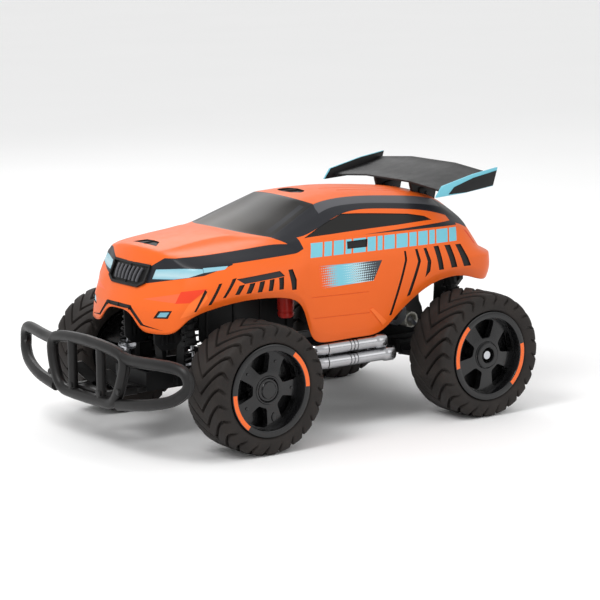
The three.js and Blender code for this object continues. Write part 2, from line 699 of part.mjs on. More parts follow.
function rimBody(bore) {
  const { barrel, inside, flange, spokeY, hub } = rim;
  const { inner, outer } = tyre;
  const ringProfile = [
    [inside, inner + 2], [barrel, inner + 2], [barrel, outer + gap], [flange, outer + gap],
    [flange, outer + 2.5], [flange - 1.5, outer + 4], [inside, outer + 4], [inside, inner + 2],
  ];
  const hoop = turned(ringProfile, [0, 0, 0], [0, 1, 0], 20);
  const windows = [0, 1, 2, 3, 4].map(spokeWindow);
  const spokes = sideProfile(ring(inside + 0.8, 20), [spokeY - 3, spokeY + 3], windows);
  const boss = rod([0, 101, 0], [0, 138, 0], hub, 12);
  return cut(join(hoop, spokes, boss), rod([0, 90, 0], [0, 150, 0], bore, 10));
}

function hubCap() {
  const profile = [
    [0, 138.9], [4, 138.9], [4, 139.3], [10.7, 139.3], [10.7, 141.5], [9.7, 142.6], [8, 142.6], [8, 144], [0, 144],
  ];
  return turned(profile, [0, 0, 0], [0, 1, 0], 12);
}

function hubNut() {
  const profile = [
    [axle.bore, 138.3], [12.6, 138.3], [12.6, 141.5], [11.6, 142.5], [7.3, 142.5], [7.3, 140],
    [axle.bore, 140], [axle.bore, 138.3],
  ];
  return turned(profile, [0, 0, 0], [0, 1, 0], 12);
}

function addWheel(end, axleX, centrePiece, centreName, bore) {
  const place = (piece) => piece.translate([axleX, 0, axleZ]);
  addPair(`${end}_tyre`, place(tyreBody()), tyreRubber);
  addPair(`${end}_rim`, place(rimBody(bore)), rimBlack);
  addPair(centreName, place(centrePiece), rimBlack);
}

// ---------- shock absorbers ----------

function shockPoint(spec, t) {
  const [topY, topZ] = spec.top;
  const length = shockLength(spec);
  return [spec.x, topY + ((spec.foot[0] - topY) * t) / length, topZ + ((spec.foot[1] - topZ) * t) / length];
}

function shockLength(spec) {
  return Math.hypot(spec.foot[0] - spec.top[0], spec.foot[1] - spec.top[1]);
}

function eyeRing(spec, t, bore) {
  const [x, y, z] = shockPoint(spec, t);
  const side = [x - 2.5, x + 2.5];
  return {
    ring: rod([side[0], y, z], [side[1], y, z], shock.eye, 10),
    hole: rod([x - 10, y, z], [x + 10, y, z], bore, 8),
  };
}

function shockBody(spec) {
  const { body, bodyEnd, collar } = shock;
  const profile = [
    [0, 3], [4.5, 3], [4.5, 5], [7, 6], [7, collar - 2], [9, collar - 2], [9, collar], [body, collar],
    [body, bodyEnd], [2.1, bodyEnd], [2.1, collar + 2], [0, collar + 2],
  ];
  const eye = eyeRing(spec, 0, shock.bore);
  return join(turned(profile, shockPoint(spec, 0), shockPoint(spec, 1), 10), eye.ring).subtract(eye.hole);
}

function shockRod(spec) {
  const length = shockLength(spec);
  const seat = length - 11;
  const profile = [
    [0, 22], [1.7, 22], [1.7, seat], [8.8, seat], [8.8, seat + 2], [3, seat + 3], [3, length - 3], [0, length - 3],
  ];
  const eye = eyeRing(spec, length, shock.footBore);
  return join(turned(profile, shockPoint(spec, 0), shockPoint(spec, 1), 10), eye.ring).subtract(eye.hole);
}

class Helix extends THREE.Curve {
  constructor(radius, from, to, turns) {
    super();
    Object.assign(this, { radius, from, to, turns });
  }

  getPoint(t, target = new THREE.Vector3()) {
    const angle = 2 * Math.PI * this.turns * t;
    const along = this.from + (this.to - this.from) * t;
    return target.set(this.radius * Math.cos(angle), along, this.radius * Math.sin(angle));
  }
}

function shockSpring(spec) {
  const wire = 0.9;
  const coil = { radius: 7.5, turns: 5, stepsPerTurn: 7 };
  const from = shock.collar + wire + gap + 0.2;
  const to = shockLength(spec) - 11 - wire - gap - 0.2;
  const path = new Helix(coil.radius, from, to, coil.turns);
  const settings = { steps: coil.turns * coil.stepsPerTurn, extrudePath: path, bevelEnabled: false };
  const geometry = new THREE.ExtrudeGeometry(outline(ring(wire, 4)), settings);
  return solid(aimed(geometry, shockPoint(spec, 0), shockPoint(spec, 1)));
}

function addShock(end, spec) {
  addPair(`${end}_shock_body`, shockBody(spec), moldedBlack);
  addPair(`${end}_shock_rod`, shockRod(spec), brightSteel);
  addPair(`${end}_spring`, shockSpring(spec), brightSteel);
}

// A red oil canister on a bent stem that stands on the tub's edge.
function canister() {
  const x = 50.5;
  const profile = [[0, 0], [4, 0.6], [7, 2.6], [8, 6], [8, 31], [6, 33], [0, 33]];
  const can = turned(profile, [x, 58, 106.5], [x, 58, 140], 14);
  return join(can, rod([x, 44, tub.rim + gap], [x, 56.5, 112], 3, 8));
}

// ---------- the whole truck ----------

add('chassis_tub', chassisTub(), moldedBlack);
add('battery_pack', batteryPack(), wrapBlue);
add('battery_door', batteryDoor(), moldedBlack);
add('power_switch', switchSlider(), moldedBlack);
add('receiver_box', receiverBox(), moldedBlack);
add('steering_servo', steeringServo(), moldedBlack);
add('servo_horn', servoHorn(), gearWhite);
add('tie_rod', tieRod(), moldedBlack);
add('drive_motor', driveMotor(), brightSteel);
add('motor_pinion', motorPinion(), brightSteel);
add('diff_gear', diffGear(), gearWhite);
add('gearbox_case', gearCase(), moldedBlack);
add('gearbox_cover', gearCover(), moldedBlack);
add('front_shock_tower', tower(frontTowerX, frontShock, 159, 142.7, 178), moldedBlack);
add('rear_shock_tower', tower(rearTowerX, rearShock, -148, -163.7, 160), moldedBlack);
add('front_bumper', frontBumper(), bumperGrey);
addPair('side_pipes', sidePipes(), pipeChrome);
addPair('oil_canister', canister(), canRed);
add('body_shell', bodyShell(), shellOrange);
add('grille', grille(), moldedBlack);
add('rear_wing', rearWing(), moldedBlack);
addPair('wing_end_plate', wingEndPlate(), moldedBlack);
addPair('front_arm', frontArm(), moldedBlack);
addPair('front_knuckle', frontKnuckle(), moldedBlack);
addPair('rear_arm', rearArm(), moldedBlack);
addPair('drive_shaft', driveShaft(), brightSteel);
addPair('rear_axle', rearAxle(), brightSteel);
addWheel('front', frontAxleX, hubCap(), 'front_hub_cap', axle.bore);
addWheel('rear', rearAxleX, hubNut(), 'rear_hub_nut', axle.bore);
addShock('front', frontShock);
addShock('rear', rearShock);

export default truck;
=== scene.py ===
import math

import bmesh
import bpy
from mathutils import Matrix, Vector


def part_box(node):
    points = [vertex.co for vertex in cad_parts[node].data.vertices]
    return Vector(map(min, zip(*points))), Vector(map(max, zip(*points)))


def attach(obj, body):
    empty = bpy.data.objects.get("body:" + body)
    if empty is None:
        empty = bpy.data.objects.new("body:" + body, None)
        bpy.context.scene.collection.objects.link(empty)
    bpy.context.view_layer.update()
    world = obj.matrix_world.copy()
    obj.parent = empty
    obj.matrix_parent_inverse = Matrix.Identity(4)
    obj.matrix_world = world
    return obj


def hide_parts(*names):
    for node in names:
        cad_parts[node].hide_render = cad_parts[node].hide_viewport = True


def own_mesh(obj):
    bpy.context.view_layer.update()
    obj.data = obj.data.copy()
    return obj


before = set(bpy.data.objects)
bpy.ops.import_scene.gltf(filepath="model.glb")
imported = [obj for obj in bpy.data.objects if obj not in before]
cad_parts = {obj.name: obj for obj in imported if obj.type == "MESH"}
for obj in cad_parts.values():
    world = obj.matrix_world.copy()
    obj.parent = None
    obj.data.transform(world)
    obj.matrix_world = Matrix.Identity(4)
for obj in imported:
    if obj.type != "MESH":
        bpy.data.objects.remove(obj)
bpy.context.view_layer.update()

print("frame loaded")


def middleX(node):
    low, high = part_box(node)
    return (low.x + high.x) / 2


# every piece is drawn in millimetres from the middle of the wheelbase, then put into the frame
frontX, rearX = middleX("front_tyre_left"), middleX("rear_tyre_left")
toFrame = Matrix.Translation(((frontX + rearX) / 2, 0, 0)) @ Matrix.Scale(0.001, 4)
axleX = (frontX - rearX) * 500
axleZ = 60
wheelY = 119
outward = Vector((0, 1, 0))
hands = ((1, "left"), (-1, "right"))

view = {  # back points from the truck to the camera
    "place": (1456.0, 2058.2, 558.7), "back": (0.5705, 0.8023, 0.1755), "roll": -0.0131,
    "lens": 157.6, "sensor": 36, "reach": 20,
}


def addCamera():
    data = bpy.data.cameras.new("viewCamera")
    data.lens, data.sensor_width, data.clip_end = view["lens"], view["sensor"], view["reach"]
    camera = bpy.data.objects.new("viewCamera", data)
    bpy.context.scene.collection.objects.link(camera)
    back = Vector(view["back"]).normalized()
    level = Vector((0, 0, 1)).cross(back).normalized()
    rise = back.cross(level)
    lean = Matrix.Rotation(view["roll"], 3, back)
    turn = Matrix((lean @ level, lean @ rise, back)).transposed()
    camera.matrix_world = Matrix.Translation(toFrame @ Vector(view["place"])) @ turn.to_4x4()
    bpy.context.scene.camera = camera


addCamera()

studio = {
    "floor": 14.0, "sky": 0.86,
    "lamps": [  # name, place and aim in metres, size, watts
        ("keyLight", (1.1, 0.35, 1.5), (0, 0, 0.1), 0.8, 15),
        ("fillLight", (-0.9, 1.7, 1.0), (0, 0, 0.1), 1.2, 4),
        ("backLight", (-0.6, -1.5, 1.3), (0, 0, 0.1), 1.0, 6),
    ],
}


def addLamp(name, place, aim, size, watts):
    data = bpy.data.lights.new(name, "AREA")
    data.shape, data.size, data.energy = "DISK", size, watts
    lamp = bpy.data.objects.new(name, data)
    bpy.context.scene.collection.objects.link(lamp)
    lamp.location = place
    lamp.rotation_euler = (Vector(aim) - Vector(place)).to_track_quat("-Z", "Y").to_euler()


for lampSettings in studio["lamps"]:
    addLamp(*lampSettings)

world = bpy.data.worlds.new("studioWorld")
world.use_nodes = True
world.node_tree.nodes["Background"].inputs["Color"].default_value = (1, 1, 1, 1)
world.node_tree.nodes["Background"].inputs["Strength"].default_value = studio["sky"]
bpy.context.scene.world = world
bpy.context.scene.view_settings.view_transform = "Standard"
print("camera and lights")


def tone(red, green, blue):
    # a screen colour of 0 to 255 as linear light
    return tuple((c / 255 / 12.92) if c <= 10 else ((c / 255 + 0.055) / 1.055) ** 2.4
                 for c in (red, green, blue)) + (1.0,)


class Signal:
    # a node socket that can be added, multiplied and compared like a number
    def __init__(self, finish, socket):
        self.finish, self.socket = finish, socket

    def math(self, operation, *values):
        return self.finish.node("ShaderNodeMath", {"operation": operation}, dict(enumerate(values)))

    def sine(self):
        return self.math("SINE", self)

    def __add__(self, other):
        return self.math("ADD", self, other)

    def __sub__(self, other):
        return self.math("SUBTRACT", self, other)

    def __rsub__(self, other):
        return self.math("SUBTRACT", other, self)

    def __mul__(self, other):
        return self.math("MULTIPLY", self, other)

    def __truediv__(self, other):
        return self.math("DIVIDE", self, other)

    def __gt__(self, other):
        return self.math("GREATER_THAN", self, other)

    __radd__ = __add__
    __rmul__ = __mul__


class Finish:
    # a material whose shader sockets are fed by signals
    def __init__(self, name, color, constants=None):
        self.material = bpy.data.materials.new(name)
        self.material.use_nodes = True
        self.tree = self.material.node_tree
        self.shader = self.tree.nodes["Principled BSDF"]
        self.shader.inputs["Base Color"].default_value = color
        self.material.diffuse_color = color
        for socket, value in (constants or {}).items():
            self.shader.inputs[socket].default_value = value
        self.place = self.node("ShaderNodeTexCoord", {}, {}, "Object")

    def node(self, kind, settings, values, output=0):
        made = self.tree.nodes.new(kind)
        for key, value in settings.items():
            if key == "stops":
                stops = made.color_ramp.elements
                while len(stops) < len(value):
                    stops.new(1)
                for stop, (spot, color) in zip(stops, value):
                    stop.position, stop.color = spot, color
            else:
                setattr(made, key, value)
        for key, value in values.items():
            if isinstance(value, Signal):
                self.tree.links.new(value.socket, made.inputs[key])
            else:
                made.inputs[key].default_value = value
        return Signal(self, made.outputs[output])

    def noise(self, scale, detail=2.0, stretch=None):
        place = self.place
        if stretch:
            place = self.node("ShaderNodeMapping", {}, {"Vector": place, "Scale": stretch})
        return self.node("ShaderNodeTexNoise", {}, {"Vector": place, "Scale": scale, "Detail": detail})

    def axis(self, letter):
        return self.node("ShaderNodeSeparateXYZ", {}, {"Vector": self.place}, letter)

    def mix(self, share, first, second):
        return self.node("ShaderNodeMix", {"data_type": "RGBA"}, {0: share, 6: first, 7: second}, 2)

    def ramp(self, value, stops):
        return self.node("ShaderNodeValToRGB", {"stops": stops}, {"Fac": value})

    def bump(self, height, strength, distance):
        return self.node("ShaderNodeBump", {}, {"Height": height, "Strength": strength, "Distance": distance})

    def feed(self, **sockets):
        names = {"color": "Base Color", "roughness": "Roughness", "metallic": "Metallic", "normal": "Normal"}
        for key, value in sockets.items():
            self.tree.links.new(value.socket, self.shader.inputs[names[key]])
        return self


def painted(name, color, shade, roughness=0.4, coat=0.06, grain=700, depth=0.00002):
    # smooth paint: a slow drift of colour, a little orange peel
    finish = Finish(name, color, {"Coat Weight": coat, "Coat Roughness": 0.12, "Specular IOR Level": 0.22})
    drift = finish.noise(14, 3)
    peel = finish.noise(grain, 1)
    finish.feed(color=finish.mix(drift, color, shade),
                roughness=finish.noise(90, 3) * 0.1 + (roughness - 0.05),
                normal=finish.bump(peel, 0.25, depth))
    return finish


def moulded(name, color, worn, roughness=0.5, grain=1600, depth=0.00006):
    # moulded plastic: fine grain and slightly paler rubbed patches
    finish = Finish(name, color, {"Specular IOR Level": 0.3})
    rub = finish.ramp(finish.noise(35, 4), [(0.45, (0, 0, 0, 1)), (0.75, (1, 1, 1, 1))])
    grainy = finish.noise(grain, 2)
    finish.feed(color=finish.mix(rub, color, worn),
                roughness=finish.noise(120, 3) * 0.16 + (roughness - 0.08),
                normal=finish.bump(grainy, 0.35, depth))
    return finish


def metal(name, color, roughness, stretch=(1, 1, 1)):
    # bare or plated metal with faint streaks
    finish = Finish(name, color, {"Metallic": 1.0})
    streak = finish.noise(500, 3, stretch)
    finish.feed(color=finish.mix(streak * 0.25, color, tone(150, 152, 158)),
                roughness=streak * 0.12 + (roughness - 0.04), normal=finish.bump(streak, 0.1, 0.00002))
    return finish


def glassWithPaintedReflection():
    # printed dark windows with a painted reflection: paler towards the front and the roof
    finish = Finish("windowGlass", tone(58, 56, 54),
                    {"Coat Weight": 0.02, "Coat Roughness": 0.1, "Specular IOR Level": 0.12})
    fade = finish.axis("X") * 7 - finish.axis("Y") * 3.2 + finish.noise(9, 1) * 0.2 + 0.1
    stops = [(0.0, tone(34, 33, 32)), (0.35, tone(46, 44, 42)), (0.9, tone(96, 92, 87))]
    finish.feed(color=finish.ramp(fade, stops), roughness=finish.noise(20, 1) * 0.04 + 0.3)
    return finish


doorPrint = {"front": 0.039, "back": -0.036, "pitch": 0.0032}  # metres from the middle of the wheelbase


def halftonePrint():
    # dots that thicken from the front of the door panel to its back, pale blue first, then charcoal
    finish = Finish("halftonePrint", tone(238, 108, 45), {"Coat Weight": 0.06, "Specular IOR Level": 0.22})
    x, z = finish.axis("X"), finish.axis("Z")
    wave = 2 * math.pi / doorPrint["pitch"] / math.sqrt(2)
    cell = ((x + z) * wave).sine() * ((x - z) * wave).sine()
    front = toFrame.translation.x + doorPrint["front"]
    along = (front - x) / (doorPrint["front"] - doorPrint["back"])
    blue = cell > 1.05 - along * 7
    dark = cell > 1.05 - (along - 0.45) * 4.2
    pale = cell > 1.0 - (along - 0.35) * 6
    ground = finish.mix(blue, tone(232, 95, 28), tone(122, 192, 208))
    ground = finish.mix(pale * 0.6, ground, tone(226, 238, 242))
    finish.feed(color=finish.mix(dark, ground, tone(62, 64, 70)),
                roughness=finish.noise(80, 2) * 0.1 + 0.25)
    return finish


def rubber():
    # fine pits with a little dust
    finish = Finish("tyreRubber", tone(46, 44, 43), {"Specular IOR Level": 0.25})
    dust = finish.ramp(finish.noise(55, 5), [(0.4, (0, 0, 0, 1)), (0.8, (1, 1, 1, 1))])
    pits = finish.noise(1300, 3)
    finish.feed(color=finish.mix(dust, tone(32, 28, 26), tone(46, 41, 38)),
                roughness=dust * 0.12 + 0.62, normal=finish.bump(pits, 0.5, 0.00012))
    return finish


def lampLens():
    # pale blue print, brightest across the middle of the lamp
    finish = Finish("lampLens", tone(170, 220, 228),
                    {"Coat Weight": 0.15, "Coat Roughness": 0.05, "Specular IOR Level": 0.25})
    fade = (finish.axis("Z") - 0.155) * 80 + finish.noise(60, 1) * 0.3
    stops = [(0.1, tone(116, 172, 190)), (0.5, tone(168, 198, 206)), (0.9, tone(138, 186, 200))]
    finish.feed(color=finish.ramp(fade, stops), roughness=finish.noise(60, 2) * 0.05 + 0.18)
    return finish


looks = {
    "orange": painted("shellOrange", tone(229, 101, 31), tone(224, 94, 26)),
    "charcoal": painted("bandCharcoal", tone(32, 33, 38), tone(27, 28, 33), 0.4),
    "railGrey": painted("railGrey", tone(84, 84, 88), tone(74, 74, 78), 0.34),
    "glass": glassWithPaintedReflection(),
    "skyBlue": painted("skyBlue", tone(118, 192, 208), tone(110, 184, 202), 0.4),
    "lamp": lampLens(),
    # red of the tail lamps; on one nose facet the same red is a painted shade
    "red": painted("lampRedAndPaintedFacetShade", tone(226, 64, 32), tone(220, 58, 28)),
    # pink is a painted highlight on a nose facet
    "pink": painted("facetPaintedHighlight", tone(232, 104, 62), tone(228, 96, 54)),
    "slot": moulded("slotBlack", tone(20, 19, 19), tone(28, 27, 27), 0.55),
    "halftone": halftonePrint(),
    # pale orange is painted light on a lit nose facet and on the raised block on the door
    "paleOrange": painted("facetPaintedLight", tone(240, 116, 48), tone(236, 108, 42)),
    "inside": moulded("shellInside", tone(24, 22, 22), tone(34, 31, 30), 0.6),
    "moulded": moulded("mouldedBlack", tone(16, 16, 17), tone(25, 25, 26), 0.5),
    "bumper": moulded("bumperGrey", tone(17, 16, 16), tone(27, 26, 26), 0.42,
                      grain=1900, depth=0.00005),
    "rubber": rubber(),
    "rim": painted("rimBlack", tone(20, 20, 21), tone(15, 15, 16), 0.24, coat=0.5, grain=900),
    "orangeBand": painted("bandOrange", tone(240, 112, 50), tone(234, 102, 44), 0.35),
    "steel": metal("brightSteel", tone(196, 198, 202), 0.28),
    "chrome": metal("pipeChrome", tone(176, 176, 178), 0.2, stretch=(0.2, 4, 4)),
    "canister": painted("canisterRed", tone(226, 54, 44), tone(210, 44, 38), 0.32, coat=0.2),
    "gear": moulded("gearWhite", tone(216, 214, 204), tone(196, 194, 184), 0.5),
    "wrap": moulded("batteryWrap", tone(30, 42, 54), tone(38, 52, 66), 0.45),
}
floorLook = Finish("paleFloor", (0.9, 0.9, 0.9, 1))
floorLook.feed(color=floorLook.mix(floorLook.noise(3, 2), (0.94, 0.94, 0.94, 1), (0.97, 0.97, 0.97, 1)),
               roughness=floorLook.noise(20, 2) * 0.1 + 0.6)


def addFloor():
    bm = bmesh.new()
    bmesh.ops.create_grid(bm, x_segments=4, y_segments=4, size=studio["floor"])
    mesh = bpy.data.meshes.new("floor")
    bm.to_mesh(mesh)
    bm.free()
    floor = bpy.data.objects.new("floor", mesh)
    bpy.context.scene.collection.objects.link(floor)
    mesh.materials.append(floorLook.material)


addFloor()
print("finishes and floor")


def everything(bm):
    return bm.verts[:] + bm.edges[:] + bm.faces[:]


def vertsOf(geometry):
    return [part for part in geometry if isinstance(part, bmesh.types.BMVert)]


def facesOf(geometry):
    return [part for part in geometry if isinstance(part, bmesh.types.BMFace)]


def flip(points, hand):
    # the same points on the left (1) or the right (-1) of the truck
    return [Vector((p[0], p[1] * hand, p[2])) for p in points]


def addPiece(name, bm, body, finishes, replaces=(), sharp=32, merge=0.01, recalc=True):
    if merge:
        bmesh.ops.remove_doubles(bm, verts=bm.verts[:], dist=merge)
    if recalc:
        bmesh.ops.recalc_face_normals(bm, faces=bm.faces[:])
    bmesh.ops.transform(bm, matrix=toFrame, verts=bm.verts[:])
    mesh = bpy.data.meshes.new(name)
    bm.to_mesh(mesh)
    bm.free()
    piece = bpy.data.objects.new(name, mesh)
    bpy.context.scene.collection.objects.link(piece)
    for finish in finishes:
        mesh.materials.append(looks[finish].material)
    mesh.shade_smooth()
    mesh.set_sharp_from_angle(angle=math.radians(sharp))
    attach(piece, body)
    if replaces:
        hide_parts(*replaces)
    return piece


def loft(bm, rows, closed=False):
    # skins rows of points by extruding one row to the next
    row = [bm.verts.new(point) for point in rows[0]]
    for pair in zip(row, row[1:] + row[:1] * closed):
        bm.edges.new(pair)
    ends = [row]
    for points in rows[1:]:
        edges = [bm.edges.get(pair) for pair in zip(row, row[1:] + row[:1] * closed)]
        made = set(bmesh.ops.extrude_edge_only(bm, edges=edges)["geom"])
        row = [next(e.other_vert(v) for e in v.link_edges if e.other_vert(v) in made) for v in row]
        for vert, point in zip(row, points):
            vert.co = point
        ends.append(row)
    return ends


def turned(bm, profile, centre, axis, steps=48, closed=False):
    # (radius, distance along the axis) pairs spun into a round piece
    axis, centre = Vector(axis).normalized(), Vector(centre)
    side = axis.orthogonal().normalized()
    verts = [bm.verts.new(centre + axis * reach + side * radius) for radius, reach in profile]
    edges = [bm.edges.new(pair) for pair in zip(verts, verts[1:] + verts[:1] * closed)]
    bmesh.ops.spin(bm, geom=verts + edges, cent=centre, axis=axis, dvec=(0, 0, 0), angle=2 * math.pi,
                   steps=steps, use_merge=True, use_duplicate=False)


def smoothPath(points, steps=5):
    # Catmull-Rom curve through the points
    points = [Vector(point) for point in points]
    last = len(points) - 1
    path = []
    for i in range(last):
        a, b, c, d = (points[max(0, min(last, i + k))] for k in (-1, 0, 1, 2))
        for step in range(steps):
            t = step / steps
            path.append(0.5 * (2 * b + (c - a) * t + (2 * a - 5 * b + 4 * c - d) * t * t
                               + (3 * b - a - 3 * c + d) * t * t * t))
    return path + [points[-1]]


def sweep(bm, path, section, closed=False, lean=(0, 0, 1)):
    # carries a closed section of (sideways, upward) pairs along a path
    rows = []
    count = len(path)
    for i, point in enumerate(path):
        ahead = path[(i + 1) % count] if closed or i < count - 1 else point
        behind = path[i - 1] if closed or i > 0 else point
        along = (ahead - behind).normalized()
        across = along.cross(Vector(lean)).normalized()
        rise = across.cross(along)
        rows.append([point + across * u + rise * v for u, v in section])
    ends = loft(bm, rows + rows[:1] * closed, closed=True)
    if not closed:
        for ring in (ends[0], ends[-1]):
            bmesh.ops.contextual_create(bm, geom=ring)


def roundSection(radius, sides=14, groove=None):
    # a circle, with a shallow flat pressed in around one direction if a groove is asked for
    section = []
    for i in range(sides):
        angle = 2 * math.pi * i / sides
        reach = radius
        if groove and abs((angle - groove[0] + math.pi) % (2 * math.pi) - math.pi) < groove[1]:
            reach = radius - groove[2]
        section.append((math.cos(angle) * reach, math.sin(angle) * reach))
    return section


def soften(bm, offset, angle=30):
    # rounds every edge sharper than an angle in degrees
    edges = [e for e in bm.edges if e.is_manifold and e.calc_face_angle(0) > math.radians(angle)]
    bmesh.ops.bevel(bm, geom=edges, offset=offset, segments=2, profile=0.5, affect="EDGES",
                    offset_type="OFFSET", material=-1, clamp_overlap=True)


def block(bm, x, y, z, bevel=0.5):
    # a softened box between two values on each axis
    part = bmesh.new()
    bmesh.ops.create_cube(part, size=1)
    size = Matrix.Diagonal((x[1] - x[0], y[1] - y[0], z[1] - z[0], 1))
    middle = Vector((sum(x) / 2, sum(y) / 2, sum(z) / 2))
    bmesh.ops.transform(part, matrix=Matrix.Translation(middle) @ size, verts=part.verts[:])
    soften(part, bevel)
    join(bm, part)


def join(bm, part):
    # adds a finished part to a mesh
    mesh = bpy.data.meshes.new("part")
    part.to_mesh(mesh)
    part.free()
    bm.from_mesh(mesh)
    bpy.data.meshes.remove(mesh)


def slabOf(bm, outline, thickness, bevel=0.4):
    # a flat outline of points given a thickness vector, edges softened
    part = bmesh.new()
    face = part.faces.new([part.verts.new(point) for point in outline])
    made = bmesh.ops.extrude_face_region(part, geom=[face])["geom"]
    bmesh.ops.translate(part, verts=vertsOf(made), vec=thickness)
    bmesh.ops.recalc_face_normals(part, faces=part.faces[:])
    if bevel:
        soften(part, bevel)
    join(bm, part)


def mirrored(bm):
    # the same again on the other side of the truck
    copy = bmesh.ops.duplicate(bm, geom=everything(bm))["geom"]
    bmesh.ops.scale(bm, verts=vertsOf(copy), vec=(1, -1, 1))
    bmesh.ops.reverse_faces(bm, faces=facesOf(copy))


cutting = {"facing": 0.12, "depth": 45}  # least cosine to the direction, and how far along it faces are cut


def cutRegion(bm, outline, along, look, sink=0.0):
    # scores a convex outline into the faces that look along a direction, then paints and sinks what is inside
    along = Vector(along).normalized()
    points = [Vector(point) for point in outline]
    middle = sum(points, Vector()) / len(points)
    walls = []
    for start, end in zip(points, points[1:] + points[:1]):
        normal = (end - start).cross(along).normalized()
        if normal.dot(middle - start) < 0:
            normal.negate()
        walls.append((start, normal))
    radius = max((point - middle - along * (point - middle).dot(along)).length for point in points)

    def near(face):
        gap = face.calc_center_median() - middle
        flat = gap - along * gap.dot(along)
        reach = radius + max((v.co - face.verts[0].co).length for v in face.verts)
        return flat.length < reach and abs(gap.dot(along)) < cutting["depth"]

    reached = [f for f in bm.faces if f.normal.dot(along) > cutting["facing"] and near(f)]
    for start, normal in walls:
        # a dictionary keeps the order, so that every run cuts alike
        parts = list(dict.fromkeys(part for face in reached for part in (*face.verts, *face.edges, face)))
        made = bmesh.ops.bisect_plane(bm, geom=parts, dist=0.001, plane_co=start, plane_no=normal)["geom"]
        reached = [f for f in facesOf(made) if normal.dot(f.calc_center_median() - start) > -0.001]
    for face in reached:
        face.material_index = look
    if sink and reached:
        made = bmesh.ops.extrude_face_region(bm, geom=reached)["geom"]
        verts, floor = vertsOf(made), set(facesOf(made))
        bmesh.ops.translate(bm, verts=verts, vec=-along * sink)
        bmesh.ops.delete(bm, geom=reached, context="FACES")
        for face in {f for v in verts for f in v.link_faces} - floor:
            face.material_index = look
        reached = list(floor)
    return reached


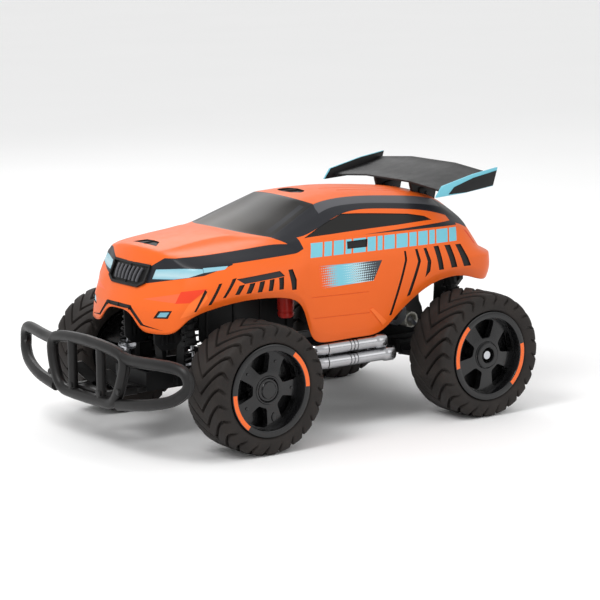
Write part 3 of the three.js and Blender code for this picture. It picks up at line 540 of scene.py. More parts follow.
# one half of the body: each station runs from the lower lip over flare, flank, belt, shoulder,
# sill, window head, rail edge, rail top, crown and roof to the centre line, as (y, z) or (y, z, shift in x)
shell = {
    "stations": [
        (-160, [(86, 121.5, -9), (84.5, 131, -17.5), (83.5, 146.5, -17.5), (79.5, 152, -9),
                (74.5, 163.5, -4), (71, 173.5, 0), (66, 179, 1), (59, 184.5, 2.5), (47.5, 193.5, 9),
                (34, 198.5, 9), (20, 200.5, 9), (0, 201.5, 9)]),
        (-152, [(88.5, 127), (91, 135.5), (90, 147.5), (84.5, 159.5), (77.5, 173), (74, 178, 2),
                (69, 182.5, 5), (59.5, 189, 5), (46.5, 196.8, 7), (34, 201, 6), (20, 203.2, 6),
                (0, 204, 6)]),
        (-138, [(90.5, 131), (93, 139), (91.5, 149.5), (86.5, 161), (79.5, 177.5), (75, 181.5),
                (66.5, 187), (58, 195), (44.5, 201.5), (33, 204.8), (20, 206.8), (0, 207.6)]),
        (-118, [(92.3, 131.5), (94.5, 139), (93.5, 150), (88.5, 162), (81.5, 179.2), (77, 183.3),
                (62.5, 193.5), (57, 199), (44.5, 205.8), (33, 209), (20, 210.8), (0, 211.6)]),
        (-93, [(94, 127), (96, 135), (95, 149.5), (90.3, 162.3), (83, 180), (78.5, 184), (62, 197.5),
               (57, 202), (45, 208.7), (33, 211.7), (20, 213.4), (0, 214.2)]),
        (-57, [(96, 107), (98.5, 115), (97.5, 136), (92.5, 161), (84.5, 180.8), (80.5, 184.8),
               (62.5, 201.5), (57, 205.8), (45, 212), (33, 215), (20, 217), (0, 217.8)]),
        (-33, [(98, 85.5), (100, 95), (100, 125), (94, 160), (85.5, 181), (82, 185), (63, 203.3),
               (57, 207.5), (45, 213.2), (33, 216.3), (20, 218.2), (0, 219)]),
        (-5, [(99, 87.2), (101, 95), (100.5, 126), (95, 159.5), (86.5, 181), (83, 185),
              (65.5, 201.7, -3), (57.5, 207.3), (47.5, 212.8), (33, 216), (20, 218), (0, 218.9)]),
        (22, [(99.5, 86.5), (101.5, 95), (101, 127), (95.5, 159.5), (88, 180.5), (84, 184.6),
              (74.5, 193, -4), (62.5, 204.3, -10), (52, 210.6, -10), (36, 214.4, -2), (20, 216, 1),
              (0, 216.8, 2)]),
        (43, [(100, 86.3), (102, 96), (101.5, 128), (96, 160), (89.5, 179.3), (84.3, 184),
              (80, 187.3, -4), (69.5, 194, -2), (60, 198.3), (38, 202.8, 4), (20, 204.9, 7),
              (0, 206, 9)]),
        (52.5, [(99.5, 93.5), (102, 104), (101.5, 131), (96.5, 161), (90.5, 177), (83.8, 183, -2),
                (80.5, 185, -2), (72, 189.5, 2), (64, 191.8, 6), (40, 196, 16), (20, 197.8, 20),
                (0, 199, 22)]),
        (58.5, [(99.5, 127.5), (101.5, 134), (101.5, 144), (97, 161), (91, 173), (82, 181, 6),
                (77.5, 183.3, 9), (72.5, 185, 13), (67, 186.2, 14.5), (40, 189, 30), (20, 190.5, 34),
                (0, 191, 36)]),
        (78, [(100, 134.6), (102, 141), (101.5, 150), (96.5, 162.5), (91, 171.8), (77, 182),
              (72.5, 183.3, 2), (67, 184.4, 4), (59, 185.8, 8), (45, 188.9, 20), (20, 190.6, 25),
              (0, 191.2, 26)]),
        (106, [(99.5, 136.8), (101.5, 143), (100.5, 151), (95.5, 162), (90.5, 171), (75.5, 180),
               (70, 181.3), (63, 182.6), (53, 184.2), (40.5, 188.4, 3), (20, 190.2, 4), (0, 190.7, 5)]),
        (131, [(97, 135.8), (99.5, 142), (99, 151), (94, 161), (89, 170), (71.5, 178.3), (65, 179.6),
               (58, 180.7), (49, 182), (37.5, 186.3), (20, 188), (0, 188.6)]),
        (151, [(90.5, 131.3), (94, 138), (93.5, 150), (88, 159.5), (82.5, 168.6), (67, 177), (61, 178),
               (54, 178.9), (46, 180), (37, 183.3), (19, 185.3), (0, 185.9)]),
        (164, [(84, 127), (87.5, 134), (86, 148), (80, 158.5), (75.5, 167.6), (60.5, 176), (55, 176.9),
               (49.5, 177.8), (43, 178.7), (35.5, 181, 1), (18, 183, 1), (0, 183.6, 2)]),
        (174, [(77.5, 120.5), (79.5, 129), (75.5, 147), (70.5, 158, -2), (64.5, 167.3, -3), (52.5, 175),
               (49, 175.9, 1), (45.5, 176.8, 2), (41, 177.8, 3), (34, 179.3, 4.5), (17, 181.3, 7),
               (0, 182.2, 8)]),
    ],
    "nose": [  # columns from the corner to the centre, bottom to top
        [(183.5, 73, 109.5), (183.5, 70, 128), (178, 67, 147), (174.5, 62, 158), (173, 57, 167.3)],
        [(190, 64, 107), (189.5, 60, 128), (183.5, 56, 147), (178.5, 52.5, 157.5),
         (175.5, 49.5, 167.3)],
        [(195, 50, 107), (194, 46, 127.7), (187.5, 44.5, 146.7), (182.5, 43, 157), (178.8, 42, 167.3)],
        [(199, 36, 107), (197.3, 32, 127.5), (190, 32, 146.5), (185, 33, 157), (181.2, 33.5, 167.3)],
        [(199.8, 20.5, 125), (200.3, 19, 128.5), (192.8, 17.5, 146.5), (187.8, 17, 157),
         (183.6, 17, 167)],
        [(200.6, 0, 125), (201, 0, 128.5), (193.4, 0, 146.5), (188.4, 0, 157), (184.2, 0, 167)],
    ],
    "tail": [
        [(-185, 72, 124), (-188, 73, 134), (-187.5, 71, 147.5), (-177, 68, 153), (-168.5, 66, 166)],
        [(-190, 64, 126), (-191, 64, 138), (-190.5, 63, 148), (-181, 60, 153.5), (-171, 60, 170)],
        [(-190.4, 48, 127), (-191, 48, 139), (-190.6, 48, 148.4), (-182, 47, 154), (-166.5, 47, 176)],
        [(-190.4, 34, 127), (-191, 34, 139), (-190.6, 34, 148.6), (-182, 34, 154.2), (-164, 34, 179)],
        [(-190.4, 20, 127), (-191, 20, 139), (-190.6, 20, 148.8), (-182, 20, 154.4),
         (-162.5, 20, 180.5)],
        [(-190.4, 0, 127), (-191, 0, 139), (-190.6, 0, 149), (-182, 0, 154.6), (-162, 0, 181)],
    ],
    "wall": 1.4, "rounds": 3,
    "finishes": ["orange", "charcoal", "railGrey", "glass", "skyBlue", "lamp", "red", "pink", "slot",
                 "halftone", "paleOrange", "inside"],
}
paint = {name: index for index, name in enumerate(shell["finishes"])}
# station and row spans painted on the cage before it is rounded: first and last station, first and last row
shellZones = [
    (10, 17, 4, 5, "charcoal"), (10, 11, 5, 8, "charcoal"), (8, 10, 6, 8, "charcoal"),
    (0, 8, 6, 7, "charcoal"), (0, 8, 7, 8, "railGrey"), (8, 11, 8, 11, "glass"), (0, 2, 5, 8, "charcoal"),
]


def shellRows():
    return [[Vector((x + sum(point[2:]), point[0], point[1])) for point in points]
            for x, points in shell["stations"]]


def creaseLine(bm, points, amount):
    # keeps the cage edges between the points sharp when it is rounded
    layer = bm.edges.layers.float.get("crease_edge") or bm.edges.layers.float.new("crease_edge")
    nearest = [min(bm.verts, key=lambda vert: (vert.co - point).length_squared) for point in points]
    for pair in zip(nearest, nearest[1:]):
        edge = bm.edges.get(pair)
        if edge:
            edge[layer] = amount


def paintZones(bm, grid):
    for first, last, low, high, look in shellZones:
        for s in range(first, last):
            for r in range(low, high):
                corner = {grid[s][r], grid[s][r + 1], grid[s + 1][r], grid[s + 1][r + 1]}
                for face in grid[s][r].link_faces:
                    if set(face.verts) == corner:
                        face.material_index = paint[look]


# edges of the cage that stay sharp: row, first and last station, amount
lineCreases = [
    (1, 0, 18, 0.4), (3, 0, 18, 0.45), (4, 9, 18, 0.35), (5, 11, 18, 0.65), (5, 2, 12, 0.35), (6, 1, 11, 0.5),
    (7, 1, 11, 0.35), (8, 1, 12, 0.75), (9, 12, 18, 0.75), (9, 1, 9, 0.3),
]
# and across the body: station, first row, amount
stationCreases = [(11, 4, 0.9), (8, 8, 0.75), (0, 5, 0.7), (17, 5, 0.55), (17, 0, 0.3)]
noseCreases = [(1, 0.6), (2, 0.7)]
tailCreases = [(2, 0.8), (3, 0.8)]


def capColumns(end, row):
    # the columns of the nose or the tail, each closed by its point of the last station
    return [[Vector(p) for p in column] + [row[6 + i]] for i, column in enumerate(shell[end])]


def shellCage():
    rows = shellRows()
    bm = bmesh.new()
    paintZones(bm, loft(bm, rows))
    front, back = rows[-1], rows[0]
    loft(bm, [front[:6]] + capColumns("nose", front))
    tail = loft(bm, [back[:6]] + capColumns("tail", back))
    for face in {f for column in tail[2:] for f in column[5].link_faces if column[4] in f.verts}:
        face.material_index = paint["glass"]
    mirrored(bm)
    bmesh.ops.remove_doubles(bm, verts=bm.verts[:], dist=0.05)
    for hand, _ in hands:
        lines = [flip([row[k] for row in rows], hand) for k in range(12)]
        for line, first, last, amount in lineCreases:
            creaseLine(bm, lines[line][first:last], amount)
        for station, first, amount in stationCreases:
            creaseLine(bm, [line[station] for line in lines[first:]], amount)
        for row, amount in tailCreases:
            creaseLine(bm, flip([back[row]] + [column[row] for column in shell["tail"]], hand), amount)
            creaseLine(bm, lines[row][:3], amount)
        for row, amount in noseCreases:
            creaseLine(bm, flip([front[row]] + [column[row] for column in shell["nose"]], hand), amount)
    bmesh.ops.recalc_face_normals(bm, faces=bm.faces[:])
    highest = max(bm.faces, key=lambda face: face.calc_center_median().z)
    if highest.normal.z < 0:
        bmesh.ops.reverse_faces(bm, faces=bm.faces[:])
    return bm


def rounded(bm, levels):
    # the cage with subdivision rounding applied, as a new mesh
    mesh = bpy.data.meshes.new("cage")
    bm.to_mesh(mesh)
    bm.free()
    cage = bpy.data.objects.new("cage", mesh)
    bpy.context.scene.collection.objects.link(cage)
    rounder = cage.modifiers.new("rounder", "SUBSURF")
    rounder.levels = rounder.render_levels = levels
    smooth = bpy.data.meshes.new_from_object(cage.evaluated_get(bpy.context.evaluated_depsgraph_get()))
    bpy.data.objects.remove(cage)
    bpy.data.meshes.remove(mesh)
    made = bmesh.new()
    made.from_mesh(smooth)
    bpy.data.meshes.remove(smooth)
    return made


def side(*points):
    return [(x, 90, z) for x, z in points]


def above(*points):
    return [(x, y, 200) for x, y in points]


corner = (0.55, 0.82, 0.15)
# outlines scored into the left half: the direction they are seen from, finish, depth, then the outlines
shellGraphics = [
    # lamp surround, then its lens
    (corner, "charcoal", 0, [[(183, 30.5, 165.8), (176.1, 44.5, 174.6), (160.5, 63, 174.5),
        (129.5, 87, 171.3), (131.5, 90.6, 163.5), (136, 91.5, 162.9), (158.3, 82.6, 160.9),
        (169.6, 74.9, 155.9), (177.3, 61.6, 152.6), (186, 40.6, 150.4), (188.4, 30.5, 151)]]),
    (corner, "lamp", 0.25, [
        [(180.6, 37.6, 165), (169.3, 66.4, 166.8), (156.6, 78, 167.5), (157.7, 81.2, 163.4),
         (168.8, 73.5, 159.3), (176.3, 60.1, 156.7), (185.2, 36.6, 155.1)],
        [(156.4, 78.2, 167.5), (134.4, 87.2, 168.4), (139.2, 88.6, 165.6), (157.5, 81.3, 163.4)],
    ]),
    # grille field
    ((1, 0, 0.3), "slot", 1.2, [[(183.4, -1, 166.6), (182.1, 31.5, 165.6), (188.4, 30.5, 150.6),
        (191.9, 21.6, 146.8), (193.2, -1, 146.8)]]),
    # fog lamp: frame and glass
    ((0.9, 0.4, 0.1), "slot", 0.8, [[(189.4, 54.3, 128.2), (182.6, 67.2, 129.3), (185.2, 64, 121.8),
        (192, 49.2, 120.9)]]),
    ((0.9, 0.4, 0.1), "lamp", -0.3, [[(188.7, 56.2, 126.9), (184.4, 64.6, 127.7), (186.3, 62, 123.2),
        (190.2, 52.8, 122.4)]]),
    # painted light and shade on the nose facets: painted shade in red, a painted highlight in pink, painted
    # light in pale orange
    (corner, "red", 0, [[(176, 70.9, 146.6), (158.1, 88, 149.6), (172, 79.3, 136.8),
        (180.8, 67.1, 135.6)]]),
    (corner, "pink", 0, [[(193.4, 32.2, 136.9), (176.5, 69.8, 144.8), (180.3, 67.6, 136)]]),
    (corner, "paleOrange", 0, [[(178.6, 72.3, 122.3), (172.8, 78.9, 135.6), (159.6, 88, 147),
        (158.4, 88.5, 141), (168, 82, 127)]]),
    # slots behind the headlamp
    ((0.5, 0.85, 0), "slot", 1.2, [[(160.4, 87.2, 149), (158.6, 88.2, 147), (167.6, 82.6, 128.6),
        (169.4, 81.9, 128.6)]]),
    ((0.3, 0.95, 0), "slot", 1.2, [[(147.9, 91.8, 153.7), (144.9, 92.5, 154), (156, 90.6, 135),
        (159, 89.5, 134.7)]]),
    ((0.2, 1, 0), "slot", 1.2, [[(134.6, 94.3, 157), (130.4, 94.7, 157.7), (143.5, 95.7, 140.9),
        (146.4, 95, 140.6)]]),
    # comb over the front wheel: the bar, then its teeth
    (outward, "charcoal", 0.8, [side((131, 156.6), (84, 159.6), (79.5, 154.5), (124, 151.8))]),
    (outward, "slot", 1.2, [
        side((129.5, 150.8), (123.8, 151.4), (130.5, 142.6), (134.8, 142.8)),
        side((118.6, 151.6), (112.6, 152), (118.4, 142.8), (123.6, 142.8)),
        side((107.8, 152.2), (102.2, 152.6), (106.8, 142.8), (111.8, 142.8)),
        side((97, 152.8), (91.6, 153.2), (95.2, 142.8), (100, 142.8)),
        side((86.6, 153.6), (81, 154), (83, 142.8), (88, 142.8)),
        side((74.5, 159.6), (69.5, 159.8), (67, 150), (68.5, 141), (73.5, 141)),
    ]),
    # slots ahead of and over the rear wheel
    (outward, "slot", 1.2, [
        side((-65.3, 162.2), (-67.7, 162), (-67.6, 153.5), (-65, 154)),
        side((-65, 154), (-67.6, 153.5), (-44, 103.1), (-41.1, 103.5)),
        side((-79.2, 162.4), (-82.4, 162.4), (-84.2, 151), (-80.6, 151)),
        side((-80.6, 151), (-84.2, 151), (-67.8, 119.7), (-63.4, 118.8)),
        side((-90, 162.2), (-93.8, 162.2), (-96.8, 149.5), (-92.3, 149.5)),
        side((-92.3, 149.5), (-96.8, 149.5), (-94.3, 140), (-87.6, 134.6)),
        side((-103.2, 162.6), (-109.6, 162.6), (-111.9, 139.8), (-105.7, 139.8)),
        side((-117.3, 162.2), (-124.9, 161.9), (-129.5, 140.2), (-121.9, 140.2)),
        side((-131.9, 161.4), (-139.2, 161.1), (-148.5, 139.4), (-138.4, 139.8)),
    ]),
    # side window, door handle, printed panel
    ((0, 1, 0.75), "glass", 0.5, [[(46, 82, 184), (15, 73, 194.5), (-9.2, 66.6, 200.8),
        (-26.4, 66.5, 199.4), (-88.9, 67.7, 193.6), (-107.3, 69.3, 189.6), (-113.4, 73.2, 185.6),
        (-68.4, 79, 186.2), (15.5, 82.8, 185.2)]]),
    (outward, "slot", 1.2, [side((-0.3, 177.4), (-25.4, 177.4), (-22.2, 170.4), (1.3, 170.8))]),
    (outward, "halftone", 0.25, [side((38.5, 158.8), (-37, 156.7), (-24, 138.8), (39.5, 138.2))]),
    (outward, "charcoal", 0, [side((-22, 181.6), (-142, 183), (-142, 178.6))]),
    # door creases, and the raised block on its trailing edge, painted pale orange as painted light
    (outward, "orange", 0.5, [
        side((50, 131.4), (-17, 129.4), (-17, 128.7), (50, 130.7)),
        side((49, 111.6), (-17, 109.6), (-17, 108.9), (49, 110.9)),
    ]),
    (outward, "paleOrange", -0.9, [side((-17.6, 112), (-21, 113), (-37.5, 98.5), (-33, 94.8))]),
    # tail lamp
    ((-0.4, 0.9, 0.2), "red", 0.4, [side((-156, 176.6), (-160.5, 174), (-168.5, 160.5),
        (-166, 161.4))]),
    # inner edge of the windscreen pillar
    ((0.5, 0.35, 0.8), "charcoal", 0, [[(70, 62, 189), (24, 51, 212), (25.5, 46, 214), (72, 56, 190)]]),
    # pressed lines along the roof
    ((0, 0, 1), "orange", 0.6, [
        above((-22, 12), (-22, 13.2), (-112, 27.2), (-112, 26)),
        above((-34, 25), (-34, 26.2), (-112, 33.6), (-112, 32.4)),
    ]),
    # tail: lamp and lower recess
    ((-1, 0.15, 0.2), "red", 0.5, [[(-185, 62, 157), (-185, 40, 158.5), (-187, 40, 152),
        (-187, 64, 150.5)]]),
    ((-1, 0, 0), "slot", 1.2, [[(-191, -1, 143), (-191, 42, 143), (-191, 36, 132), (-191, -1, 132)]]),
    # bonnet slot and roof scoop
    ((0, 0, 1), "slot", 1.2, [above((159.5, -1), (160, 11), (169.8, 20.5), (171.8, -1))]),
    ((0, 0, 1), "slot", 1.8, [above((-7, -1), (-5, 13.5), (-1.5, 16.8), (3, 18.5), (9.5, 12),
        (12, -1))]),
    # black strip above the lip of the opening in the nose, thinning out along the bottom edge
    ((1, 0, 0), "slot", 0.9, [[(200.6, -1, 126.4), (200.4, 18.8, 126.6), (200.6, 20.6, 130),
        (201, -1, 130.4)]]),
    ((0.95, 0.3, 0), "slot", 0.9, [
        [(200.4, 18.8, 126.6), (197, 35.2, 113), (196.6, 38.6, 114.2), (200.6, 20.6, 130)],
        [(197, 35.2, 113), (189, 62, 110.6), (196.6, 38.6, 114.2)],
    ]),
]

# the right pillar is wider where it wraps over the edge of the windscreen
rightPillar = [(74, -64, 186), (24, -53, 208), (27, -43, 213.5), (80, -47, 190)]

# printed blocks along the belt in place of lettering: front edge, back edge
beltBlocks = {"start": 42, "end": -149, "lengths": [14, 9, 12, 7, 15, 10, 6, 13], "gap": 2.2, "lean": 4.5,
              "shortest": 12, "top": (180, 0.017), "bottom": (167.2, 0.0145)}  # height at the start, slope


def beltPoint(x, share):
    low = beltBlocks["bottom"][0] + beltBlocks["bottom"][1] * (x - beltBlocks["start"])
    high = beltBlocks["top"][0] + beltBlocks["top"][1] * (x - beltBlocks["start"])
    return (x + beltBlocks["lean"] * (1 - share), 90, low + (high - low) * share)


def addBeltBlocks(bm):
    x, turn = beltBlocks["start"], 0
    while x > beltBlocks["end"] + beltBlocks["shortest"]:
        back = x - beltBlocks["lengths"][turn % len(beltBlocks["lengths"])]
        outline = [beltPoint(x, 1), beltPoint(back, 1), beltPoint(back, 0), beltPoint(x, 0)]
        cutRegion(bm, outline, outward, paint["skyBlue"])
        x, turn = back - beltBlocks["gap"], turn + 1


def addShell():
    bm = rounded(shellCage(), shell["rounds"])
    bmesh.ops.bisect_plane(bm, geom=everything(bm), dist=0.001, plane_co=(0, 0, 0), plane_no=(0, 1, 0),
                           clear_inner=True)
    addBeltBlocks(bm)
    for along, look, depth, outlines in shellGraphics:
        for outline in outlines:
            cutRegion(bm, outline, along, paint[look], depth)
    mirrored(bm)
    bmesh.ops.remove_doubles(bm, verts=bm.verts[:], dist=0.005)
    cutRegion(bm, rightPillar, (0.5, -0.35, 0.8), paint["charcoal"])
    print("shell faces", len(bm.faces))
    piece = addPiece("body_shell_skin", bm, "chassis", shell["finishes"], ["body_shell"],
                     sharp=28, merge=0, recalc=False)
    wall = piece.modifiers.new("wall", "SOLIDIFY")
    wall.thickness, wall.offset, wall.material_offset = shell["wall"] / 1000, -1, len(shell["finishes"])


addShell()
print("body shell")

tyre = {
    # across from the middle outwards: sideways, radius, how far the groove has turned in degrees, depth
    "rows": [(0, 60.8, 0, 3.8), (6, 60.8, 5.9, 3.8), (12, 60.8, 11.8, 3.8), (17, 60.6, 16.7, 3.8),
             (21.8, 60.2, 20.8, 3.8), (25, 59, 22.8, 3.6), (26.8, 57, 22.8, 3.2), (27.3, 54.2, 21, 2.4),
             (27.3, 51.6, 18.8, 1.5), (27.2, 49.6, 18, 0.2), (26.8, 47, 18, 0), (25.9, 45.2, 18, 0),
             (25.2, 44.2, 18, 0), (24.4, 43.6, 18, 0), (22, 43, 18, 0), (20, 41, 18, 0)],
    # round one lug: share of the pitch, share of the groove's depth
    "columns": [(0, 1), (0.1, 1), (0.135, 0.2), (0.165, 0), (0.35, 0), (0.55, 0.03), (0.75, 0.08),
                (0.88, 0.14), (0.93, 0.4), (1, 1)],
    "core": 45,
    "lugs": 24,
}


def addTyre(name, node, body, x, hand):
    # one lug's share of the tyre, skinned round its section, then spun round the axle
    bm = bmesh.new()
    rows = tyre["rows"]
    loop = [(y, r, turn, depth) for y, r, turn, depth in reversed(rows)]
    loop += [(-y, r, turn, depth) for y, r, turn, depth in rows[1:]]
    pitch = math.radians(360 / tyre["lugs"])
    centre = Vector((x, hand * wheelY, axleZ))
    lofted = []
    for share, factor in tyre["columns"]:
        line = []
        for i, (y, r, turn, depth) in enumerate(loop):
            before, after = loop[i - 1], loop[(i + 1) % len(loop)]
            slope = Vector((after[0] - before[0], after[1] - before[1]))
            inward = Vector((slope.y, -slope.x)).normalized()
            if inward.dot(Vector((y, r - tyre["core"]))) > 0:
                inward.negate()
            y, r = y + inward.x * depth * factor, r + inward.y * depth * factor
            angle = pitch * share + math.radians(turn)
            line.append(centre + Vector((math.cos(angle) * r, y, math.sin(angle) * r)))
        lofted.append(line)
    loft(bm, lofted, closed=True)
    steps = tyre["lugs"] - 1
    bmesh.ops.spin(bm, geom=everything(bm), cent=centre, axis=(0, 1, 0), dvec=(0, 0, 0), angle=pitch * steps,
                   steps=steps, use_merge=False, use_duplicate=True)
    addPiece(name, bm, body, ["rubber"], [node], sharp=40, merge=0.02)


rim = {
    "ring": [(43, 22), (43.2, 25.2), (42.8, 26), (42.2, 26.3), (38, 26.3), (37.2, 26), (36.8, 25.2),
             (36.2, 21), (35.8, 16), (35.8, 8.5), (38, 7), (38.2, -22), (42, -25), (42.4, -24),
             (40.7, -21), (40.7, 21)],
    "plate": [(12.6, 20.2), (16, 20), (20, 19.4), (26, 18.6), (32, 18), (36.4, 17.6)], "plateBack": 7,
    "window": [(16.6, -4), (18.4, -5.8), (28.6, -11.2), (31.4, -11.6), (33.4, -9.6), (34.8, 0), (33.4, 9.6),
               (31.4, 11.6), (28.6, 11.2), (18.4, 5.8), (16.6, 4)],
    "spokes": 5, "firstWindow": {"front": 33, "rear": 20},
    "boss": [(13.4, 6), (13.4, 20.6), (12.8, 21.3), (11.9, 21.3), (11.2, 20.6), (11.2, 14), (4.4, 14),
             (4.4, 6)],
    "back": [(4.4, 6.4), (37, 6.4), (37, 5.2), (4.4, 5.2)],
    "band": (38, 42.2, 26.2), "arcs": {"front": ((-3, 49), (177, 229)), "rear": ((-49, 12), (131, 192))},
    "stud": [(0, 0), (1.5, 0), (1.5, 0.9), (1.1, 1.2), (0, 1.2)], "studPlace": (27, 18.3),
    "oval": (2.4, 4.6, 1.3), "ovalSpoke": 3,
}


def onWheel(x, hand, radius, degrees, reach):
    # a point on a wheel: 0 degrees points to the rear of the truck and 90 up
    angle = math.radians(degrees)
    return Vector((x - math.cos(angle) * radius, hand * (wheelY + reach), axleZ + math.sin(angle) * radius))


def addRim(name, node, body, x, hand, end):
    # the ring, a plate with a window between each two spokes, the boss and the dark disc behind
    bm = bmesh.new()
    centre, axis = Vector((x, hand * wheelY, axleZ)), Vector((0, hand, 0))
    turned(bm, rim["ring"], centre, axis, 90, closed=True)
    inner, outer, proud = rim["band"]
    for face in bm.faces:
        spot = face.calc_center_median() - centre
        degrees = math.degrees(math.atan2(spot.z, -spot.x))
        if spot.y * hand > proud and inner < math.hypot(spot.x, spot.z) < outer:
            for low, high in rim["arcs"][end]:
                if low < degrees < high or low < degrees + 360 < high:
                    face.material_index = 1
    plate = bmesh.new()
    turned(plate, rim["plate"], centre, axis, 60)
    bmesh.ops.remove_doubles(plate, verts=plate.verts[:], dist=0.01)
    bmesh.ops.recalc_face_normals(plate, faces=plate.faces[:])
    if plate.faces[0].normal.dot(axis) < 0:
        bmesh.ops.reverse_faces(plate, faces=plate.faces[:])
    step = 360 / rim["spokes"]
    for i in range(rim["spokes"]):
        degrees = rim["firstWindow"][end] + step * i
        outline = [onWheel(x, hand, math.hypot(reach, across),
                           degrees + math.degrees(math.atan2(across, reach)), 15)
                   for reach, across in rim["window"]]
        bmesh.ops.delete(plate, geom=cutRegion(plate, outline, axis, 0), context="FACES")
    made = bmesh.ops.extrude_face_region(plate, geom=plate.faces[:])["geom"]
    bmesh.ops.translate(plate, verts=vertsOf(made), vec=-axis * rim["plateBack"])
    bmesh.ops.recalc_face_normals(plate, faces=plate.faces[:])
    soften(plate, 0.5, 50)
    join(bm, plate)
    turned(bm, rim["boss"], centre, axis, 40, closed=True)
    turned(bm, rim["back"], centre, axis, 40, closed=True)
    if end == "front":
        reach, depth = rim["studPlace"]
        for i in range(rim["spokes"]):  # a raised oval on one spoke, round studs on the others
            middle = onWheel(x, hand, reach, rim["firstWindow"][end] + step * (i + 0.5), depth)
            if i == rim["ovalSpoke"]:
                wide, tall, high = rim["oval"]
                turns = [a * math.pi / 8 for a in range(16)]
                oval = [middle + Vector((math.cos(a) * wide, 0, math.sin(a) * tall)) for a in turns]
                slabOf(bm, oval, axis * high, 0.4)
            else:
                turned(bm, rim["stud"], middle, axis, 10)
    addPiece(name, bm, body, ["rim", "orangeBand"], [node], sharp=35)


hubs = {
    "front": [(0, 22.6), (6.9, 22.6), (7.7, 22.1), (8, 21.4), (8.4, 20.9), (9.9, 20.9), (10.6, 20.3),
              (10.7, 16), (0, 16)],
    "rear": [(7.3, 16), (7.3, 22.6), (7.9, 23.2), (11.4, 23.2), (12.4, 22.4), (12.6, 19.4), (8.5, 19.3),
             (8.5, 16)],
}
for end, kind in (("front", "cap"), ("rear", "nut")):
    for hand, word in hands:
        x = axleX if end == "front" else -axleX
        body = f"{end}_wheel_{word}"
        addTyre(f"{end}_tyre_{word}_tread", f"{end}_tyre_{word}", body, x, hand)
        addRim(f"{end}_rim_{word}_spokes", f"{end}_rim_{word}", body, x, hand, end)
        bm = bmesh.new()
        turned(bm, hubs[end], (x, hand * wheelY, axleZ), (0, hand, 0), 36, closed=end == "rear")
        addPiece(f"hub_{kind}_{word}", bm, body, ["rim"], [f"{end}_hub_{kind}_{word}"])
print("wheels")

bumper = {
    "tube": 5.5, "groove": (math.pi, 0.3, 0.8),  # direction, half width and depth
    "hoop": [(235.5, 0, 98.5), (235, 30, 97.2), (234.4, 50, 95), (233.8, 61, 91.6), (234.3, 64.5, 84),
             (235.4, 60.5, 69), (236, 53, 54), (236, 43, 46.4), (236, 28, 45), (236, 0, 44.6)],
    "wing": [(233.8, 60, 92), (232, 72, 90), (228.6, 95, 90.4), (223.6, 121, 91), (219.4, 137, 89),
             (217.6, 143.6, 83), (217.6, 144.4, 75), (220.4, 139.5, 68), (225.4, 126, 60), (231, 105, 54.6),
             (234.6, 84, 51), (236, 56, 47)],
    "upright": {"x": 235.7, "y": 25.5, "heights": (97, 84, 70, 57, 44), "tube": 4.6},
    "clip": {"x": (232, 240.6), "reach": 4, "z": (50.5, 56)},
    "stud": [(0, 0), (3, 0), (3, 1.2), (2.3, 1.9), (0, 1.9)], "studPlace": (239.4, 61, 60),
    "rail": {"x": (199, 235), "y": 26.5, "reach": 3.5, "z": (47.6, 54)},
    "gusset": [(190, 48.4), (214, 48.4), (234, 66), (234, 74), (226, 74), (208, 57), (190, 53)],
    "gussetY": 23, "gussetWall": 3.2,
    "crossBars": [((189, 199), (48.4, 53)), ((224, 233), (47.8, 53))], "crossReach": 29,
}


def addBumper():
    bm = bmesh.new()
    tube = roundSection(bumper["tube"], 18, bumper["groove"])
    arc = smoothPath(bumper["hoop"])
    sweep(bm, arc + flip(reversed(arc[1:-1]), -1), tube, closed=True, lean=(1, 0, 0))
    upright, clip, rail = bumper["upright"], bumper["clip"], bumper["rail"]
    for hand, _ in hands:
        sweep(bm, flip(smoothPath(bumper["wing"]), hand), tube, lean=(1, 0, 0))
        y = upright["y"] * hand
        sweep(bm, [Vector((upright["x"], y, z)) for z in upright["heights"]],
              roundSection(upright["tube"], 12), lean=(1, 0, 0))
        block(bm, clip["x"], (y - clip["reach"], y + clip["reach"]), clip["z"], 1.2)
        turned(bm, bumper["stud"], flip([bumper["studPlace"]], hand)[0], (1, 0, 0), 14)
        y = rail["y"] * hand
        block(bm, rail["x"], (y - rail["reach"], y + rail["reach"]), rail["z"], 1)
        slabOf(bm, [(x, hand * bumper["gussetY"], z) for x, z in bumper["gusset"]],
               (0, hand * bumper["gussetWall"], 0), 0.6)
    for x, z in bumper["crossBars"]:
        block(bm, x, (-bumper["crossReach"], bumper["crossReach"]), z, 0.8)
    addPiece("bumper_hoops", bm, "chassis", ["bumper"], ["front_bumper"], sharp=40)


addBumper()
print("bumper")

pipes = {
    "front": 32, "y": 97, "rows": [(79.8, -36), (66.6, -46)],  # height and rear end of each
    "radius": 6, "rings": 3, "ringStart": 24.6, "ringPitch": 4,
    "ring": [(6, 0), (5.1, 0.4), (5.1, 1.2), (6, 1.6)],
    # radius and distance from the rear end
    "tip": [(6, 13), (6.1, 11.8), (7, 10.4), (7.2, 9), (7.2, 1), (6.8, 0), (5.6, 0), (5.1, 0.8),
            (4.9, 10), (0, 10)],
    "elbow": [(47.5, 76), (46.5, 86), (41, 94.5), (32, 97)],
    # brackets that hang them off the floor: middles in x, half width, then side and height of each plate
    "brackets": (24, -22), "bracketReach": 3, "plates": [((88, 94), (62, 82)), ((48, 90), (64, 67.5))],
    "chromeFrom": 91,
}


